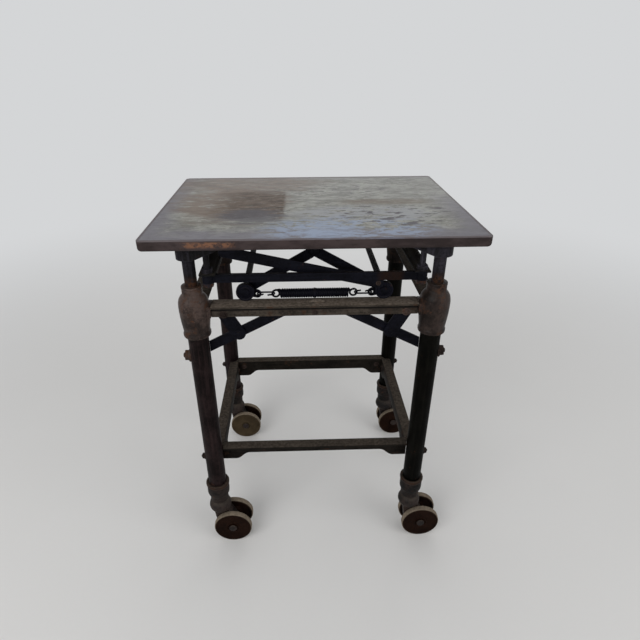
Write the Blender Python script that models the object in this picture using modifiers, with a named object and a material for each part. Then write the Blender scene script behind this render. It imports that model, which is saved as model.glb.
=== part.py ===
"""Printer's turtle table: a steel top on a sprung toggle lift, over a pipe frame on twin-disc casters.

Metres, +Z up, origin on the floor under the middle of the top. -Y is the front.
"""

import math

import bmesh
import bpy
import numpy as np
from mathutils import Matrix, Vector

# Clearances
FIT_GAP = 0.0003
APEX_PLAY = 0.0009
SWIVEL_GAP = 0.0015
WHEEL_SIDE_GAP = 0.0015

# Facets of the round pieces
ROUND_SIDES = 16
WHEEL_SIDES = 20
PIN_SIDES = 12

# Top plate
TOP_WIDTH = 0.660
TOP_DEPTH = 0.508
TOP_THICKNESS = 0.0215
TOP_CORNER_RADIUS = 0.010
TOP_LOWER_ROUND = 0.006
TOP_UPPER_ROUND = 0.0012

# Pipe legs
LEG_INSET_X = 0.0805
LEG_INSET_Y = 0.0495
LEG_LENGTH = 0.522
LEG_OD = 0.044
LEG_WALL = 0.004

# Cast sockets on the legs, which guide the posts
SOCKET_LENGTH = 0.114
SOCKET_OD = 0.0635
SOCKET_FOOT_OD = 0.0550
SOCKET_RING_OD = 0.0424
SOCKET_RING_LENGTH = 0.019
SOCKET_SHOULDER_LENGTH = 0.025
SOCKET_LIP_LENGTH = 0.009
SOCKET_LIP_STEP = 0.0016
SOCKET_PAD_REACH = 0.0345
LEG_SEAT_DEPTH = 0.070

# Guide posts and the brackets that hold them under the plate
POST_OD = 0.025
POST_LENGTH = 0.145
POST_SHOWN = 0.0588
BRACKET_HEIGHT = 0.0294
BRACKET_RADIUS = 0.0228
BRACKET_REACH = 0.0845
BRACKET_TIP_WIDTH = 0.032
BRACKET_RISE = 0.40

# Upper rails: a web under a flange that is the roller track
UPPER_RAIL_BELOW_SOCKET = 0.0444
UPPER_RAIL_DEPTH = 0.026
UPPER_FLANGE_OUT = 0.014
UPPER_FLANGE_IN = 0.024
UPPER_WEB_OUT = 0.008
FLANGE_THICKNESS = 0.005
WEB_THICKNESS = 0.006

# Lower rails: the flange points out, the web is inside and deepens at the legs
LOWER_RAIL_ABOVE_LEG_FOOT = 0.1283
LOWER_RAIL_DEPTH = 0.033
LOWER_FLANGE_OUT = 0.002
LOWER_FLANGE_IN = 0.024
FLARE_DROP = 0.019
FLARE_FLAT = 0.028
FLARE_RUN = 0.032

# Braces from the front legs up to the front rail, and the straps that tie them to its web
BRACE_WIDTH = 0.022
BRACE_THICKNESS = 0.006
BRACE_FOOT_BELOW_RAIL = 0.1151
BRACE_HEAD_X = 0.0127
STRAP_WIDTH = 0.030
STRAP_THICKNESS = 0.005
STRAP_HEAD_INSET = 0.0595
STRAP_FOOT_INSET = 0.0869

# Sub-frame hung under the plate
CROSS_BAR_ABOVE_SOCKET = 0.0095
CROSS_BAR_HEIGHT = 0.017
CROSS_BAR_THICKNESS = 0.008
CROSS_BAR_OUTSET = 0.009
HANGER_INSET = 0.0369
HANGER_OD = 0.0125
HANGER_BOSS_OD = 0.024
NUT_ACROSS = 0.020
NUT_HEIGHT = 0.009
SIDE_FLAT_WIDTH = 0.032
SIDE_FLAT_THICKNESS = 0.004
STAY_WIDTH = 0.0225
STAY_THICKNESS = 0.0045
STAY_HEAD_INSET = 0.0715
STAY_FOOT_INSET = 0.0165
STAY_FOOT_BELOW_BAR = 0.0098

# Toggle lift: rollers on the rails, struts to the middle of the plate, springs between the rollers
FOOT_INSET = 0.105
ROLLER_OD = 0.038
ROLLER_WIDTH = 0.011
ROLLER_INSET = 0.012
AXLE_OD = 0.014
AXLE_HEAD_OD = 0.019
AXLE_HEAD_THICKNESS = 0.003
LUG_THICKNESS = 0.005
LUG_HUB_OD = 0.023
LUG_EYE_OD = 0.017
LUG_HOLE_OD = 0.008
STRUT_WIDTH = 0.021
STRUT_THICKNESS = 0.005
APEX_BELOW_PLATE = 0.031
APEX_PIN_OD = 0.010
APEX_HEAD_OD = 0.017
APEX_HEAD_THICKNESS = 0.003
APEX_LUG_THICKNESS = 0.006
APEX_LUG_WIDTH = 0.060
APEX_LUG_EYE_OD = 0.024
LAP_RADIUS = 0.0135

# Extension springs
SPRING_BELOW_AXLE = 0.0085
SPRING_OD = 0.0203
SPRING_WIRE = 0.0049
SPRING_PITCH = 0.00567
SPRING_END_LENGTH = 0.0435
SPRING_EYE_INSET = 0.0245
SPRING_HOOK_RADIUS = 0.0065
SPRING_LEAD = 0.011
POINTS_PER_CURL = 8

# Casters
WHEEL_OD = 0.0978
WHEEL_WIDTH = 0.0145
WHEEL_HUB_OD = 0.030
WHEEL_RIM_WIDTH = 0.0075
WHEEL_DISH = 0.0028
WHEEL_EDGE = 0.0014
WHEEL_PIN_OD = 0.010
WHEEL_PIN_HEAD_OD = 0.020
WHEEL_PIN_HEAD_THICKNESS = 0.0025
CASTER_TRAIL = 0.031
HORN_THICKNESS = 0.030
HORN_BOSS_OD = 0.028
HORN_HEEL_BACK = 0.0076
HORN_HEEL_HEIGHT = 0.0405
BALL_OD = 0.056
BALL_FLATNESS = 0.85
BALL_TOP = 0.0204
STEM_OD = 0.020
STEM_HEAD_OD = 0.026
STEM_HEAD_THICKNESS = 0.004
FERRULE_HEIGHT = 0.062
FERRULE_OD = 0.0584
FERRULE_NECK_OD = 0.0460
FERRULE_RING_HEIGHT = 0.042
FERRULE_EDGE = 0.0012
FERRULE_SEAT_DEPTH = 0.022

# Heights and places that follow from the sizes above
LEG_X = TOP_WIDTH / 2 - LEG_INSET_X
LEG_Y = TOP_DEPTH / 2 - LEG_INSET_Y
HANGER_X = LEG_X - HANGER_INSET
FOOT_X = LEG_X - FOOT_INSET
STAY_HEAD_X = STAY_HEAD_INSET - LEG_X
STAY_FOOT_X = FOOT_X - STAY_FOOT_INSET
STRAP_HEAD_X = LEG_X - STRAP_HEAD_INSET
STRAP_FOOT_X = LEG_X - STRAP_FOOT_INSET
SPRING_EYE_X = FOOT_X - SPRING_EYE_INSET
SPRING_COIL_LENGTH = 2 * (SPRING_EYE_X - SPRING_END_LENGTH)
SPRING_CURLS = round(SPRING_COIL_LENGTH / SPRING_PITCH)
WHEEL_RADIUS = WHEEL_OD / 2
DISC_INNER = HORN_THICKNESS / 2 + WHEEL_SIDE_GAP
DISC_OUTER = DISC_INNER + WHEEL_WIDTH
BALL_RADIUS = BALL_OD / 2
BALL_HALF_HEIGHT = BALL_RADIUS * BALL_FLATNESS
BALL_AT_DISC = math.sqrt(BALL_RADIUS**2 - DISC_INNER**2)
BALL_LEAN = math.asin(CASTER_TRAIL / (WHEEL_RADIUS + BALL_AT_DISC))
BALL_REACH = BALL_AT_DISC * math.hypot(math.sin(BALL_LEAN), BALL_FLATNESS * math.cos(BALL_LEAN))
BALL_Z = WHEEL_RADIUS + math.sqrt((WHEEL_RADIUS + BALL_REACH + SWIVEL_GAP) ** 2 - CASTER_TRAIL**2)
FERRULE_BOTTOM = BALL_Z + BALL_TOP + FIT_GAP
FERRULE_TOP = FERRULE_BOTTOM + FERRULE_HEIGHT
FERRULE_SEAT = FERRULE_TOP - FERRULE_SEAT_DEPTH
LEG_BOTTOM = FERRULE_SEAT + FIT_GAP
LEG_TOP = LEG_BOTTOM + LEG_LENGTH
SOCKET_BOTTOM = LEG_TOP + FIT_GAP - LEG_SEAT_DEPTH
SOCKET_TOP = SOCKET_BOTTOM + SOCKET_LENGTH
UPPER_RAIL_TOP = SOCKET_TOP - UPPER_RAIL_BELOW_SOCKET
FLANGE_UNDERSIDE = UPPER_RAIL_TOP - FLANGE_THICKNESS
LOWER_RAIL_TOP = LEG_BOTTOM + LOWER_RAIL_ABOVE_LEG_FOOT
BRACE_FOOT_HEIGHT = UPPER_RAIL_TOP - BRACE_FOOT_BELOW_RAIL
BRACE_HEAD_HEIGHT = FLANGE_UNDERSIDE - FIT_GAP
BRACE_RUN = LEG_X - BRACE_HEAD_X
BRACE_CLIMB = BRACE_HEAD_HEIGHT - BRACE_FOOT_HEIGHT
BRACE_HALF = BRACE_WIDTH / 2
BRACE_LINE = math.sqrt(BRACE_RUN**2 + BRACE_CLIMB**2 - BRACE_HALF**2)
BRACE_SLOPE = (BRACE_RUN * BRACE_CLIMB + BRACE_HALF * BRACE_LINE) / (BRACE_RUN**2 - BRACE_HALF**2)
STRAP_HEAD_HEIGHT = FLANGE_UNDERSIDE - FIT_GAP - STRAP_WIDTH / 2
BRACKET_BOTTOM = SOCKET_TOP + POST_SHOWN
BRACKET_TOP = BRACKET_BOTTOM + BRACKET_HEIGHT
PLATE_BOTTOM = BRACKET_TOP + FIT_GAP
TOP_HEIGHT = PLATE_BOTTOM + TOP_THICKNESS
CROSS_BAR_BOTTOM = SOCKET_TOP + CROSS_BAR_ABOVE_SOCKET
CROSS_BAR_TOP = CROSS_BAR_BOTTOM + CROSS_BAR_HEIGHT
SIDE_FLAT_BOTTOM = CROSS_BAR_TOP + FIT_GAP
SIDE_FLAT_TOP = SIDE_FLAT_BOTTOM + SIDE_FLAT_THICKNESS
HANGER_Y = LEG_Y + CROSS_BAR_OUTSET
STAY_Y = -(HANGER_Y - CROSS_BAR_THICKNESS / 2 - FIT_GAP - STAY_THICKNESS / 2)
STAY_FOOT_HEIGHT = CROSS_BAR_BOTTOM - STAY_FOOT_BELOW_BAR
APEX_HEIGHT = PLATE_BOTTOM - APEX_BELOW_PLATE
ROLLER_RADIUS = ROLLER_OD / 2
AXLE_Z = UPPER_RAIL_TOP + FIT_GAP + ROLLER_RADIUS
SPRING_HEIGHT = AXLE_Z - SPRING_BELOW_AXLE
ROLLER_Y = LEG_Y - ROLLER_INSET - ROLLER_WIDTH / 2
LUG_Y = ROLLER_Y - ROLLER_WIDTH / 2 - FIT_GAP - LUG_THICKNESS / 2
STRUT_Y = LUG_Y - LUG_THICKNESS / 2 - FIT_GAP - STRUT_THICKNESS / 2
APEX_LUG_Y = STRUT_Y - STRUT_THICKNESS / 2 - FIT_GAP - APEX_LUG_THICKNESS / 2
AXLE_HEAD_Y = ROLLER_Y + ROLLER_WIDTH / 2 + FIT_GAP
STRAP_Y = -LEG_Y - UPPER_WEB_OUT + WEB_THICKNESS + FIT_GAP + STRAP_THICKNESS / 2
BRACE_Y = STRAP_Y + STRAP_THICKNESS / 2 + FIT_GAP + BRACE_THICKNESS / 2

CORNERS = {
    "front_left": (-1, -1),
    "front_right": (1, -1),
    "back_left": (-1, 1),
    "back_right": (1, 1),
}
SIDES = {"left": -1, "right": 1}
ENDS = {"front": -1, "back": 1}
UPRIGHT = Matrix.Rotation(math.pi / 2, 4, "X")

# Finishes: base colour, roughness, metallic
BLACK_IRON = ((0.030, 0.028, 0.030), 0.55, 0.6)
BROWN_IRON = ((0.060, 0.045, 0.036), 0.60, 0.5)
DUSTY_IRON = ((0.095, 0.080, 0.058), 0.70, 0.4)
WORN_STEEL = ((0.260, 0.240, 0.245), 0.45, 0.8)
BLUE_STEEL = ((0.028, 0.030, 0.042), 0.45, 0.8)
WHEEL_IRON = ((0.110, 0.065, 0.050), 0.65, 0.4)


def make_collection(name):
    collection = bpy.data.collections.new(name)
    bpy.context.scene.collection.children.link(collection)
    return collection


for old in list(bpy.data.objects):
    bpy.data.objects.remove(old)
parts = make_collection("printers_turtle_table")
tools = make_collection("cutters")


def mesh_object(name, fill):
    """An object whose mesh the function fills through bmesh."""
    mesh = bpy.data.meshes.new(name)
    bm = bmesh.new()
    fill(bm)
    bm.to_mesh(mesh)
    bm.free()
    obj = bpy.data.objects.new(name, mesh)
    parts.objects.link(obj)
    return obj


def box(name, low, high):
    """A block between two corners."""
    low, high = Vector(low), Vector(high)
    size = [abs(span) for span in high - low]
    return block(name, size, Matrix.Translation((low + high) / 2))


def block(name, size, place):
    """A block of a size, centred and turned by a matrix."""
    place = place @ Matrix.Diagonal((*size, 1))
    return mesh_object(name, lambda bm: bmesh.ops.create_cube(bm, size=1, matrix=place))


def rod(name, diameter, start, end, sides=PIN_SIDES):
    """A round or many-sided bar between two points."""
    start, end = Vector(start), Vector(end)
    axis = end - start
    turn = axis.to_track_quat("Z", "Y").to_matrix().to_4x4()
    place = Matrix.Translation((start + end) / 2) @ turn

    def fill(bm):
        bmesh.ops.create_cone(
            bm,
            cap_ends=True,
            segments=sides,
            radius1=diameter / 2,
            radius2=diameter / 2,
            depth=axis.length,
            matrix=place,
        )

    return mesh_object(name, fill)


def hole(name, diameter, start, end, sides=ROUND_SIDES):
    """A cutter whose flats clear a round bar of the diameter by the fit gap."""
    return rod(name, (diameter + 2 * FIT_GAP) / math.cos(math.pi / sides), start, end, sides)


def turned(name, profile, sides=ROUND_SIDES):
    """A profile of (radius, height), down the outside from the top, swept about Z."""

    def fill(bm):
        points = [bm.verts.new((radius, 0, height)) for radius, height in profile]
        for first, second in zip(points, points[1:]):
            bm.edges.new((first, second))
        if profile[0][0] > 0:
            bm.edges.new((points[-1], points[0]))

    obj = mesh_object(name, fill)
    screw = obj.modifiers.new("Turn", "SCREW")
    screw.axis = "Z"
    screw.steps = sides
    screw.render_steps = sides
    screw.use_merge_vertices = True
    screw.merge_threshold = 0.00001
    return obj


def solid_of(curve_object):
    """The curve as a mesh object with welded caps, in the curve's place."""
    bpy.context.view_layer.update()
    evaluated = curve_object.evaluated_get(bpy.context.evaluated_depsgraph_get())
    mesh = bpy.data.meshes.new_from_object(evaluated)
    bm = bmesh.new()
    bm.from_mesh(mesh)
    bmesh.ops.remove_doubles(bm, verts=bm.verts, dist=0.000001)
    bmesh.ops.recalc_face_normals(bm, faces=bm.faces)
    bm.to_mesh(mesh)
    bm.free()
    name = curve_object.name
    place = curve_object.matrix_world.copy()
    bpy.data.objects.remove(curve_object)
    obj = bpy.data.objects.new(name, mesh)
    obj.matrix_world = place
    parts.objects.link(obj)
    return obj


def plate(name, loops, thickness, place):
    """A flat outline with its holes, extruded evenly about its plane."""
    curve = bpy.data.curves.new(name, "CURVE")
    curve.dimensions = "2D"
    curve.fill_mode = "BOTH"
    curve.extrude = thickness / 2
    for loop in loops:
        spline = curve.splines.new("POLY")
        spline.points.add(len(loop) - 1)
        spline.use_cyclic_u = True
        for point, (x, y) in zip(spline.points, loop):
            point.co = (x, y, 0, 1)
    obj = bpy.data.objects.new(name, curve)
    obj.matrix_world = place
    parts.objects.link(obj)
    return solid_of(obj)


def upright(y):
    """The place of an outline drawn in X and Z on the plane at y."""
    return Matrix.Translation((0, y, 0)) @ UPRIGHT


def circle(centre, diameter, sides=ROUND_SIDES):
    steps = [2 * math.pi * i / sides for i in range(sides)]
    return [
        (centre[0] + diameter / 2 * math.cos(a), centre[1] + diameter / 2 * math.sin(a))
        for a in steps
    ]


def wrapped(points):
    """The outline of a band drawn tight around the points."""

    def half(ordered):
        chain = []
        for p in ordered:
            while len(chain) > 1:
                a, b = chain[-2:]
                if (b[0] - a[0]) * (p[1] - a[1]) - (b[1] - a[1]) * (p[0] - a[0]) > 0:
                    break
                chain.pop()
            chain.append(p)
        return chain[:-1]

    ordered = sorted(points)
    return half(ordered) + half(ordered[::-1])


def boolean(body, tool, operation):
    """Cut or join the body with a hidden tool."""
    parts.objects.unlink(tool)
    tools.objects.link(tool)
    tool.hide_render = True
    tool.display_type = "WIRE"
    modifier = body.modifiers.new(tool.name, "BOOLEAN")
    modifier.operation = operation
    modifier.object = tool
    modifier.solver = "EXACT"
    return body


def cut(body, tool):
    return boolean(body, tool, "DIFFERENCE")


def join(body, tool):
    return boolean(body, tool, "UNION")


def finish(obj, finish_values):
    """The piece's own material, and smooth shading on its round faces."""
    colour, roughness, metallic = finish_values
    material = bpy.data.materials.new(obj.name)
    material.use_nodes = True
    shader = material.node_tree.nodes["Principled BSDF"]
    shader.inputs["Base Color"].default_value = (*colour, 1)
    shader.inputs["Roughness"].default_value = roughness
    shader.inputs["Metallic"].default_value = metallic
    obj.data.materials.clear()
    obj.data.materials.append(material)
    if obj.data.polygons:
        obj.data.shade_smooth()
        obj.data.set_sharp_from_angle(angle=math.radians(35))
    return obj


def pivot(name, place):
    """An empty on a joint's axis, which the moving pieces hang from."""
    empty = bpy.data.objects.new(name, None)
    empty.location = place
    empty.empty_display_size = 0.03
    parts.objects.link(empty)
    return empty


def hang(obj, empty):
    bpy.context.view_layer.update()
    obj.parent = empty
    obj.matrix_parent_inverse = empty.matrix_world.inverted()
    return obj


def leg(corner):
    sx, sy = CORNERS[corner]
    bore = LEG_OD / 2 - LEG_WALL
    profile = [(LEG_OD / 2, LEG_TOP), (LEG_OD / 2, LEG_BOTTOM), (bore, LEG_BOTTOM), (bore, LEG_TOP)]
    tube = turned(f"leg_{corner}", profile)
    tube.location = (sx * LEG_X, sy * LEG_Y, 0)
    return finish(tube, BROWN_IRON)


def socket(corner):
    """A cast cup over the leg's top, with pads for two rails and the post's bore."""
    sx, sy = CORNERS[corner]
    x, y = sx * LEG_X, sy * LEG_Y
    ring_bottom = SOCKET_TOP - SOCKET_RING_LENGTH
    lip_top = SOCKET_BOTTOM + SOCKET_LIP_LENGTH
    foot = SOCKET_FOOT_OD / 2
    rim = SOCKET_RING_OD / 2
    profile = [
        (0, SOCKET_TOP),
        (rim - SOCKET_LIP_STEP, SOCKET_TOP),
        (rim, SOCKET_TOP - SOCKET_LIP_STEP),
        (rim, ring_bottom),
        ((rim + SOCKET_OD / 2) / 2, ring_bottom - SOCKET_SHOULDER_LENGTH * 0.35),
        (SOCKET_OD / 2, ring_bottom - SOCKET_SHOULDER_LENGTH),
        (foot, lip_top),
        (foot + SOCKET_LIP_STEP, lip_top - SOCKET_LIP_STEP),
        (foot, SOCKET_BOTTOM),
        (0, SOCKET_BOTTOM),
    ]
    name = f"socket_{corner}"
    cup = turned(name, profile)
    cup.location = (x, y, 0)
    low, high = UPPER_RAIL_TOP - UPPER_RAIL_DEPTH, UPPER_RAIL_TOP
    out, inner = UPPER_FLANGE_OUT, UPPER_FLANGE_IN
    pad_x = ((x, y + sy * out, low), (x - sx * SOCKET_PAD_REACH, y - sy * inner, high))
    pad_y = ((x + sx * out, y, low), (x - sx * inner, y - sy * SOCKET_PAD_REACH, high))
    join(cup, box(f"{name}_pad_x", *pad_x))
    join(cup, box(f"{name}_pad_y", *pad_y))
    seat = SOCKET_BOTTOM + LEG_SEAT_DEPTH
    below, above = SOCKET_BOTTOM - LEG_OD, SOCKET_TOP + LEG_OD
    cut(cup, hole(f"{name}_seat", LEG_OD, (x, y, below), (x, y, seat)))
    cut(cup, hole(f"{name}_bore", POST_OD, (x, y, below), (x, y, above)))
    return finish(cup, BROWN_IRON)


def ferrule(corner):
    """A cast cup under the leg that the caster's stem turns in."""
    sx, sy = CORNERS[corner]
    ring_bottom = FERRULE_TOP - FERRULE_RING_HEIGHT
    rim = FERRULE_OD / 2
    seat = LEG_OD / 2 + FIT_GAP
    stem = STEM_OD / 2 + FIT_GAP
    profile = [
        (rim - FERRULE_EDGE, FERRULE_TOP),
        (rim, FERRULE_TOP - 2 * FERRULE_EDGE),
        (rim - FERRULE_EDGE, ring_bottom + 2 * FERRULE_EDGE),
        (FERRULE_NECK_OD / 2 + FERRULE_EDGE, ring_bottom),
        (FERRULE_NECK_OD / 2, FERRULE_BOTTOM),
        (stem, FERRULE_BOTTOM),
        (stem, FERRULE_SEAT),
        (seat, FERRULE_SEAT),
        (seat, FERRULE_TOP),
    ]
    cup = turned(f"caster_ferrule_{corner}", profile)
    cup.location = (sx * LEG_X, sy * LEG_Y, 0)
    return finish(cup, BLACK_IRON)


def rail_place(side):
    """Each rail is drawn as the front one and turned about Z to its side."""
    turns = {"front": 0, "right": 1, "back": 2, "left": 3}
    return Matrix.Rotation(turns[side] * math.pi / 2, 4, "Z")


def rail_spans(side):
    """Half the spacing of the rail's two legs, and the legs' distance from the middle."""
    along_x = side in ENDS
    return (LEG_X, LEG_Y) if along_x else (LEG_Y, LEG_X)


def upper_rail(side):
    half, away = rail_spans(side)
    reach = half - SOCKET_PAD_REACH - FIT_GAP
    name = f"upper_rail_{side}"
    outer, inner = -away - UPPER_FLANGE_OUT, -away + UPPER_FLANGE_IN
    web_y = -away - UPPER_WEB_OUT
    web_low = UPPER_RAIL_TOP - UPPER_RAIL_DEPTH
    rail = box(name, (-reach, outer, FLANGE_UNDERSIDE), (reach, inner, UPPER_RAIL_TOP))
    web_high = UPPER_RAIL_TOP - FLANGE_THICKNESS / 2
    web = box(f"{name}_web", (-reach, web_y, web_low), (reach, web_y + WEB_THICKNESS, web_high))
    place = rail_place(side)
    for obj in (rail, web):
        obj.matrix_world = place
    return finish(join(rail, web), DUSTY_IRON)


def flared_web(half):
    """The web's outline: straight below, with an S-curve down to a deep end at each leg."""
    top = LOWER_RAIL_TOP - FLANGE_THICKNESS / 2
    low = LOWER_RAIL_TOP - LOWER_RAIL_DEPTH
    start = half - LOWER_FLANGE_IN - FLARE_FLAT
    steps = [i / 6 for i in range(7)]
    bend = [
        (start - FLARE_RUN * (1 - t), low - FLARE_DROP * (1 - math.cos(math.pi * t)) / 2)
        for t in steps
    ]
    right = [(half, top), (half, low - FLARE_DROP)] + bend[::-1]
    return right + [(-x, z) for x, z in right[::-1]]


def lower_rail(side):
    half, away = rail_spans(side)
    name = f"lower_rail_{side}"
    place = rail_place(side)
    outer, inner = -away - LOWER_FLANGE_OUT, -away + LOWER_FLANGE_IN
    flange_low = LOWER_RAIL_TOP - FLANGE_THICKNESS
    rail = box(name, (-half, outer, flange_low), (half, inner, LOWER_RAIL_TOP))
    rail.matrix_world = place
    web_y = inner - WEB_THICKNESS / 2
    join(rail, plate(f"{name}_web", [flared_web(half)], WEB_THICKNESS, place @ upright(web_y)))
    size = 2 * (LOWER_FLANGE_IN + LEG_OD)
    low, high = LOWER_RAIL_TOP - 2 * LOWER_RAIL_DEPTH, LOWER_RAIL_TOP + LOWER_RAIL_DEPTH
    for end, sign in SIDES.items():
        post = Vector((sign * half, -away, 0))
        corner = place @ post
        start, stop = corner + Vector((0, 0, low)), corner + Vector((0, 0, high))
        tool = hole(f"{name}_saddle_{end}", LEG_OD, start, stop)
        outward = Vector((sign, 1, 0)).normalized()
        centre = post + outward * (size / 2 - FIT_GAP) + Vector((0, 0, (low + high) / 2))
        turn = Matrix.Rotation(sign * math.pi / 4, 4, "Z")
        mitre_place = place @ Matrix.Translation(centre) @ turn
        cut(rail, block(f"{name}_mitre_{end}", (size, 2 * size, high - low), mitre_place))
        cut(rail, tool)
    return finish(rail, DUSTY_IRON)


def brace(side):
    """A flat bar from the front leg's inner face up under the front rail's flange."""
    sign = SIDES[side]
    name = f"front_brace_{side}"
    rise = BRACE_HALF * math.hypot(1, BRACE_SLOPE)
    low, high = BRACE_FOOT_HEIGHT - rise, BRACE_FOOT_HEIGHT + rise
    outline = [
        (sign * LEG_X, low),
        (sign * LEG_X, high),
        (sign * (LEG_X - (BRACE_HEAD_HEIGHT - high) / BRACE_SLOPE), BRACE_HEAD_HEIGHT),
        (sign * BRACE_HEAD_X, BRACE_HEAD_HEIGHT),
    ]
    bar = plate(name, [outline], BRACE_THICKNESS, upright(BRACE_Y))
    x = sign * LEG_X
    cut(bar, hole(f"{name}_saddle", LEG_OD, (x, -LEG_Y, low - LEG_OD), (x, -LEG_Y, high + LEG_OD)))
    return finish(bar, BLUE_STEEL)


def strap(side):
    """A short flat link between the front rail's web and a brace."""
    sign = SIDES[side]
    foot = (sign * STRAP_FOOT_X, BRACE_FOOT_HEIGHT + BRACE_SLOPE * (LEG_X - STRAP_FOOT_X))
    head = (sign * STRAP_HEAD_X, STRAP_HEAD_HEIGHT)
    outline = wrapped(circle(head, STRAP_WIDTH) + circle(foot, STRAP_WIDTH))
    return finish(plate(f"brace_strap_{side}", [outline], STRAP_THICKNESS, upright(STRAP_Y)), BLUE_STEEL)


def top_plate():
    """A slab with round corners, a crisp upper edge and a round lower one."""
    x, y = TOP_WIDTH / 2 - TOP_CORNER_RADIUS, TOP_DEPTH / 2 - TOP_CORNER_RADIUS
    rounds = [
        point
        for sx, sy in CORNERS.values()
        for point in circle((sx * x, sy * y), 2 * TOP_CORNER_RADIUS)
    ]
    place = Matrix.Translation((0, 0, TOP_HEIGHT - TOP_THICKNESS / 2))
    slab = plate("top_plate", [wrapped(rounds)], TOP_THICKNESS, place)
    bm = bmesh.new()
    bm.from_mesh(slab.data)
    for side, width, segments in ((-1, TOP_LOWER_ROUND, 2), (1, TOP_UPPER_ROUND, 1)):
        level = side * TOP_THICKNESS / 2
        rim = [
            edge
            for edge in bm.edges
            if all(abs(v.co.z - level) < FIT_GAP for v in edge.verts)
            and any(abs(face.normal.z) < 0.5 for face in edge.link_faces)
        ]
        bmesh.ops.bevel(bm, geom=rim, offset=width, segments=segments, profile=0.5, affect="EDGES")
    bm.to_mesh(slab.data)
    bm.free()
    return finish(slab, WORN_STEEL)


def bracket(corner):
    """A cast arm under the plate with its guide post and the hanger stud of the sub-frame."""
    sx, sy = CORNERS[corner]
    x, y = sx * LEG_X, sy * LEG_Y
    inner_x = x - sx * BRACKET_REACH
    name = f"corner_bracket_{corner}"
    ends = circle((x, y), 2 * BRACKET_RADIUS) + [
        (inner_x, y - BRACKET_TIP_WIDTH / 2),
        (inner_x, y + BRACKET_TIP_WIDTH / 2),
    ]
    middle = Matrix.Translation((0, 0, (BRACKET_TOP + BRACKET_BOTTOM) / 2))
    arm = plate(name, [wrapped(ends)], BRACKET_HEIGHT, middle)
    along = Vector((-sx, 0, BRACKET_RISE)).normalized()
    across = Vector((0, 1, 0))
    turn = Matrix((along, across, along.cross(across))).transposed().to_4x4()
    root = Vector((x - sx * POST_OD / 2, y, BRACKET_BOTTOM))
    down = Vector((-sx * along.z, 0, sx * along.x)).normalized()
    size = 2 * BRACKET_REACH
    centre = root + along * size / 2 + down * size / 2
    cut(arm, block(f"{name}_slope", (size, 4 * BRACKET_RADIUS, size), Matrix.Translation(centre) @ turn))
    inside = BRACKET_BOTTOM + BRACKET_HEIGHT / 2
    join(arm, rod(f"{name}_post", POST_OD, (x, y, BRACKET_BOTTOM - POST_LENGTH), (x, y, inside), ROUND_SIDES))
    hx, hy = sx * HANGER_X, sy * HANGER_Y
    low = CROSS_BAR_BOTTOM - FIT_GAP
    high = SIDE_FLAT_TOP + FIT_GAP
    stud_top = BRACKET_TOP - BRACKET_HEIGHT / 8
    corners_across = NUT_ACROSS / math.cos(math.pi / 6)
    join(arm, rod(f"{name}_stud", HANGER_OD, (hx, hy, low - NUT_HEIGHT), (hx, hy, stud_top)))
    join(arm, rod(f"{name}_lower_nut", corners_across, (hx, hy, low - NUT_HEIGHT * 0.8), (hx, hy, low), 6))
    join(arm, rod(f"{name}_upper_nut", corners_across, (hx, hy, high), (hx, hy, high + NUT_HEIGHT), 6))
    return finish(arm, BLACK_IRON)


def hanger_hole(body, x, y):
    start = (x, y, CROSS_BAR_BOTTOM - CROSS_BAR_HEIGHT)
    stop = (x, y, SIDE_FLAT_TOP + CROSS_BAR_HEIGHT)
    return cut(body, hole(f"{body.name}_hole_{x:.2f}_{y:.2f}", HANGER_OD, start, stop, PIN_SIDES))


def cross_bar(end):
    y = ENDS[end] * HANGER_Y
    half = CROSS_BAR_THICKNESS / 2
    name = f"cross_bar_{end}"
    bar = box(name, (-HANGER_X, y - half, CROSS_BAR_BOTTOM), (HANGER_X, y + half, CROSS_BAR_TOP))
    for side, sign in SIDES.items():
        x = sign * HANGER_X
        join(bar, rod(f"{name}_eye_{side}", HANGER_BOSS_OD, (x, y, CROSS_BAR_BOTTOM), (x, y, CROSS_BAR_TOP)))
        hanger_hole(bar, x, y)
    return finish(bar, BLUE_STEEL)


def side_flat(side):
    x = SIDES[side] * HANGER_X
    end = HANGER_Y + HANGER_BOSS_OD / 2
    half = SIDE_FLAT_WIDTH / 2
    flat = box(f"side_flat_{side}", (x - half, -end, SIDE_FLAT_BOTTOM), (x + half, end, SIDE_FLAT_TOP))
    for sign in ENDS.values():
        hanger_hole(flat, x, sign * HANGER_Y)
    return finish(flat, BLUE_STEEL)


def stay():
    """A flat bar from the left bracket's slope down behind the front cross bar."""
    run = LEG_X - POST_OD / 2 + STAY_HEAD_X
    slope_z = BRACKET_BOTTOM + BRACKET_RISE * run
    tilt = math.atan(BRACKET_RISE)
    head = (STAY_HEAD_X, slope_z - (STAY_WIDTH / 2 + FIT_GAP) / math.cos(tilt))
    foot = (STAY_FOOT_X, STAY_FOOT_HEIGHT)
    outline = wrapped(circle(head, STAY_WIDTH) + circle(foot, STAY_WIDTH))
    return finish(plate("diagonal_stay", [outline], STAY_THICKNESS, upright(STAY_Y)), BLUE_STEEL)


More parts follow.
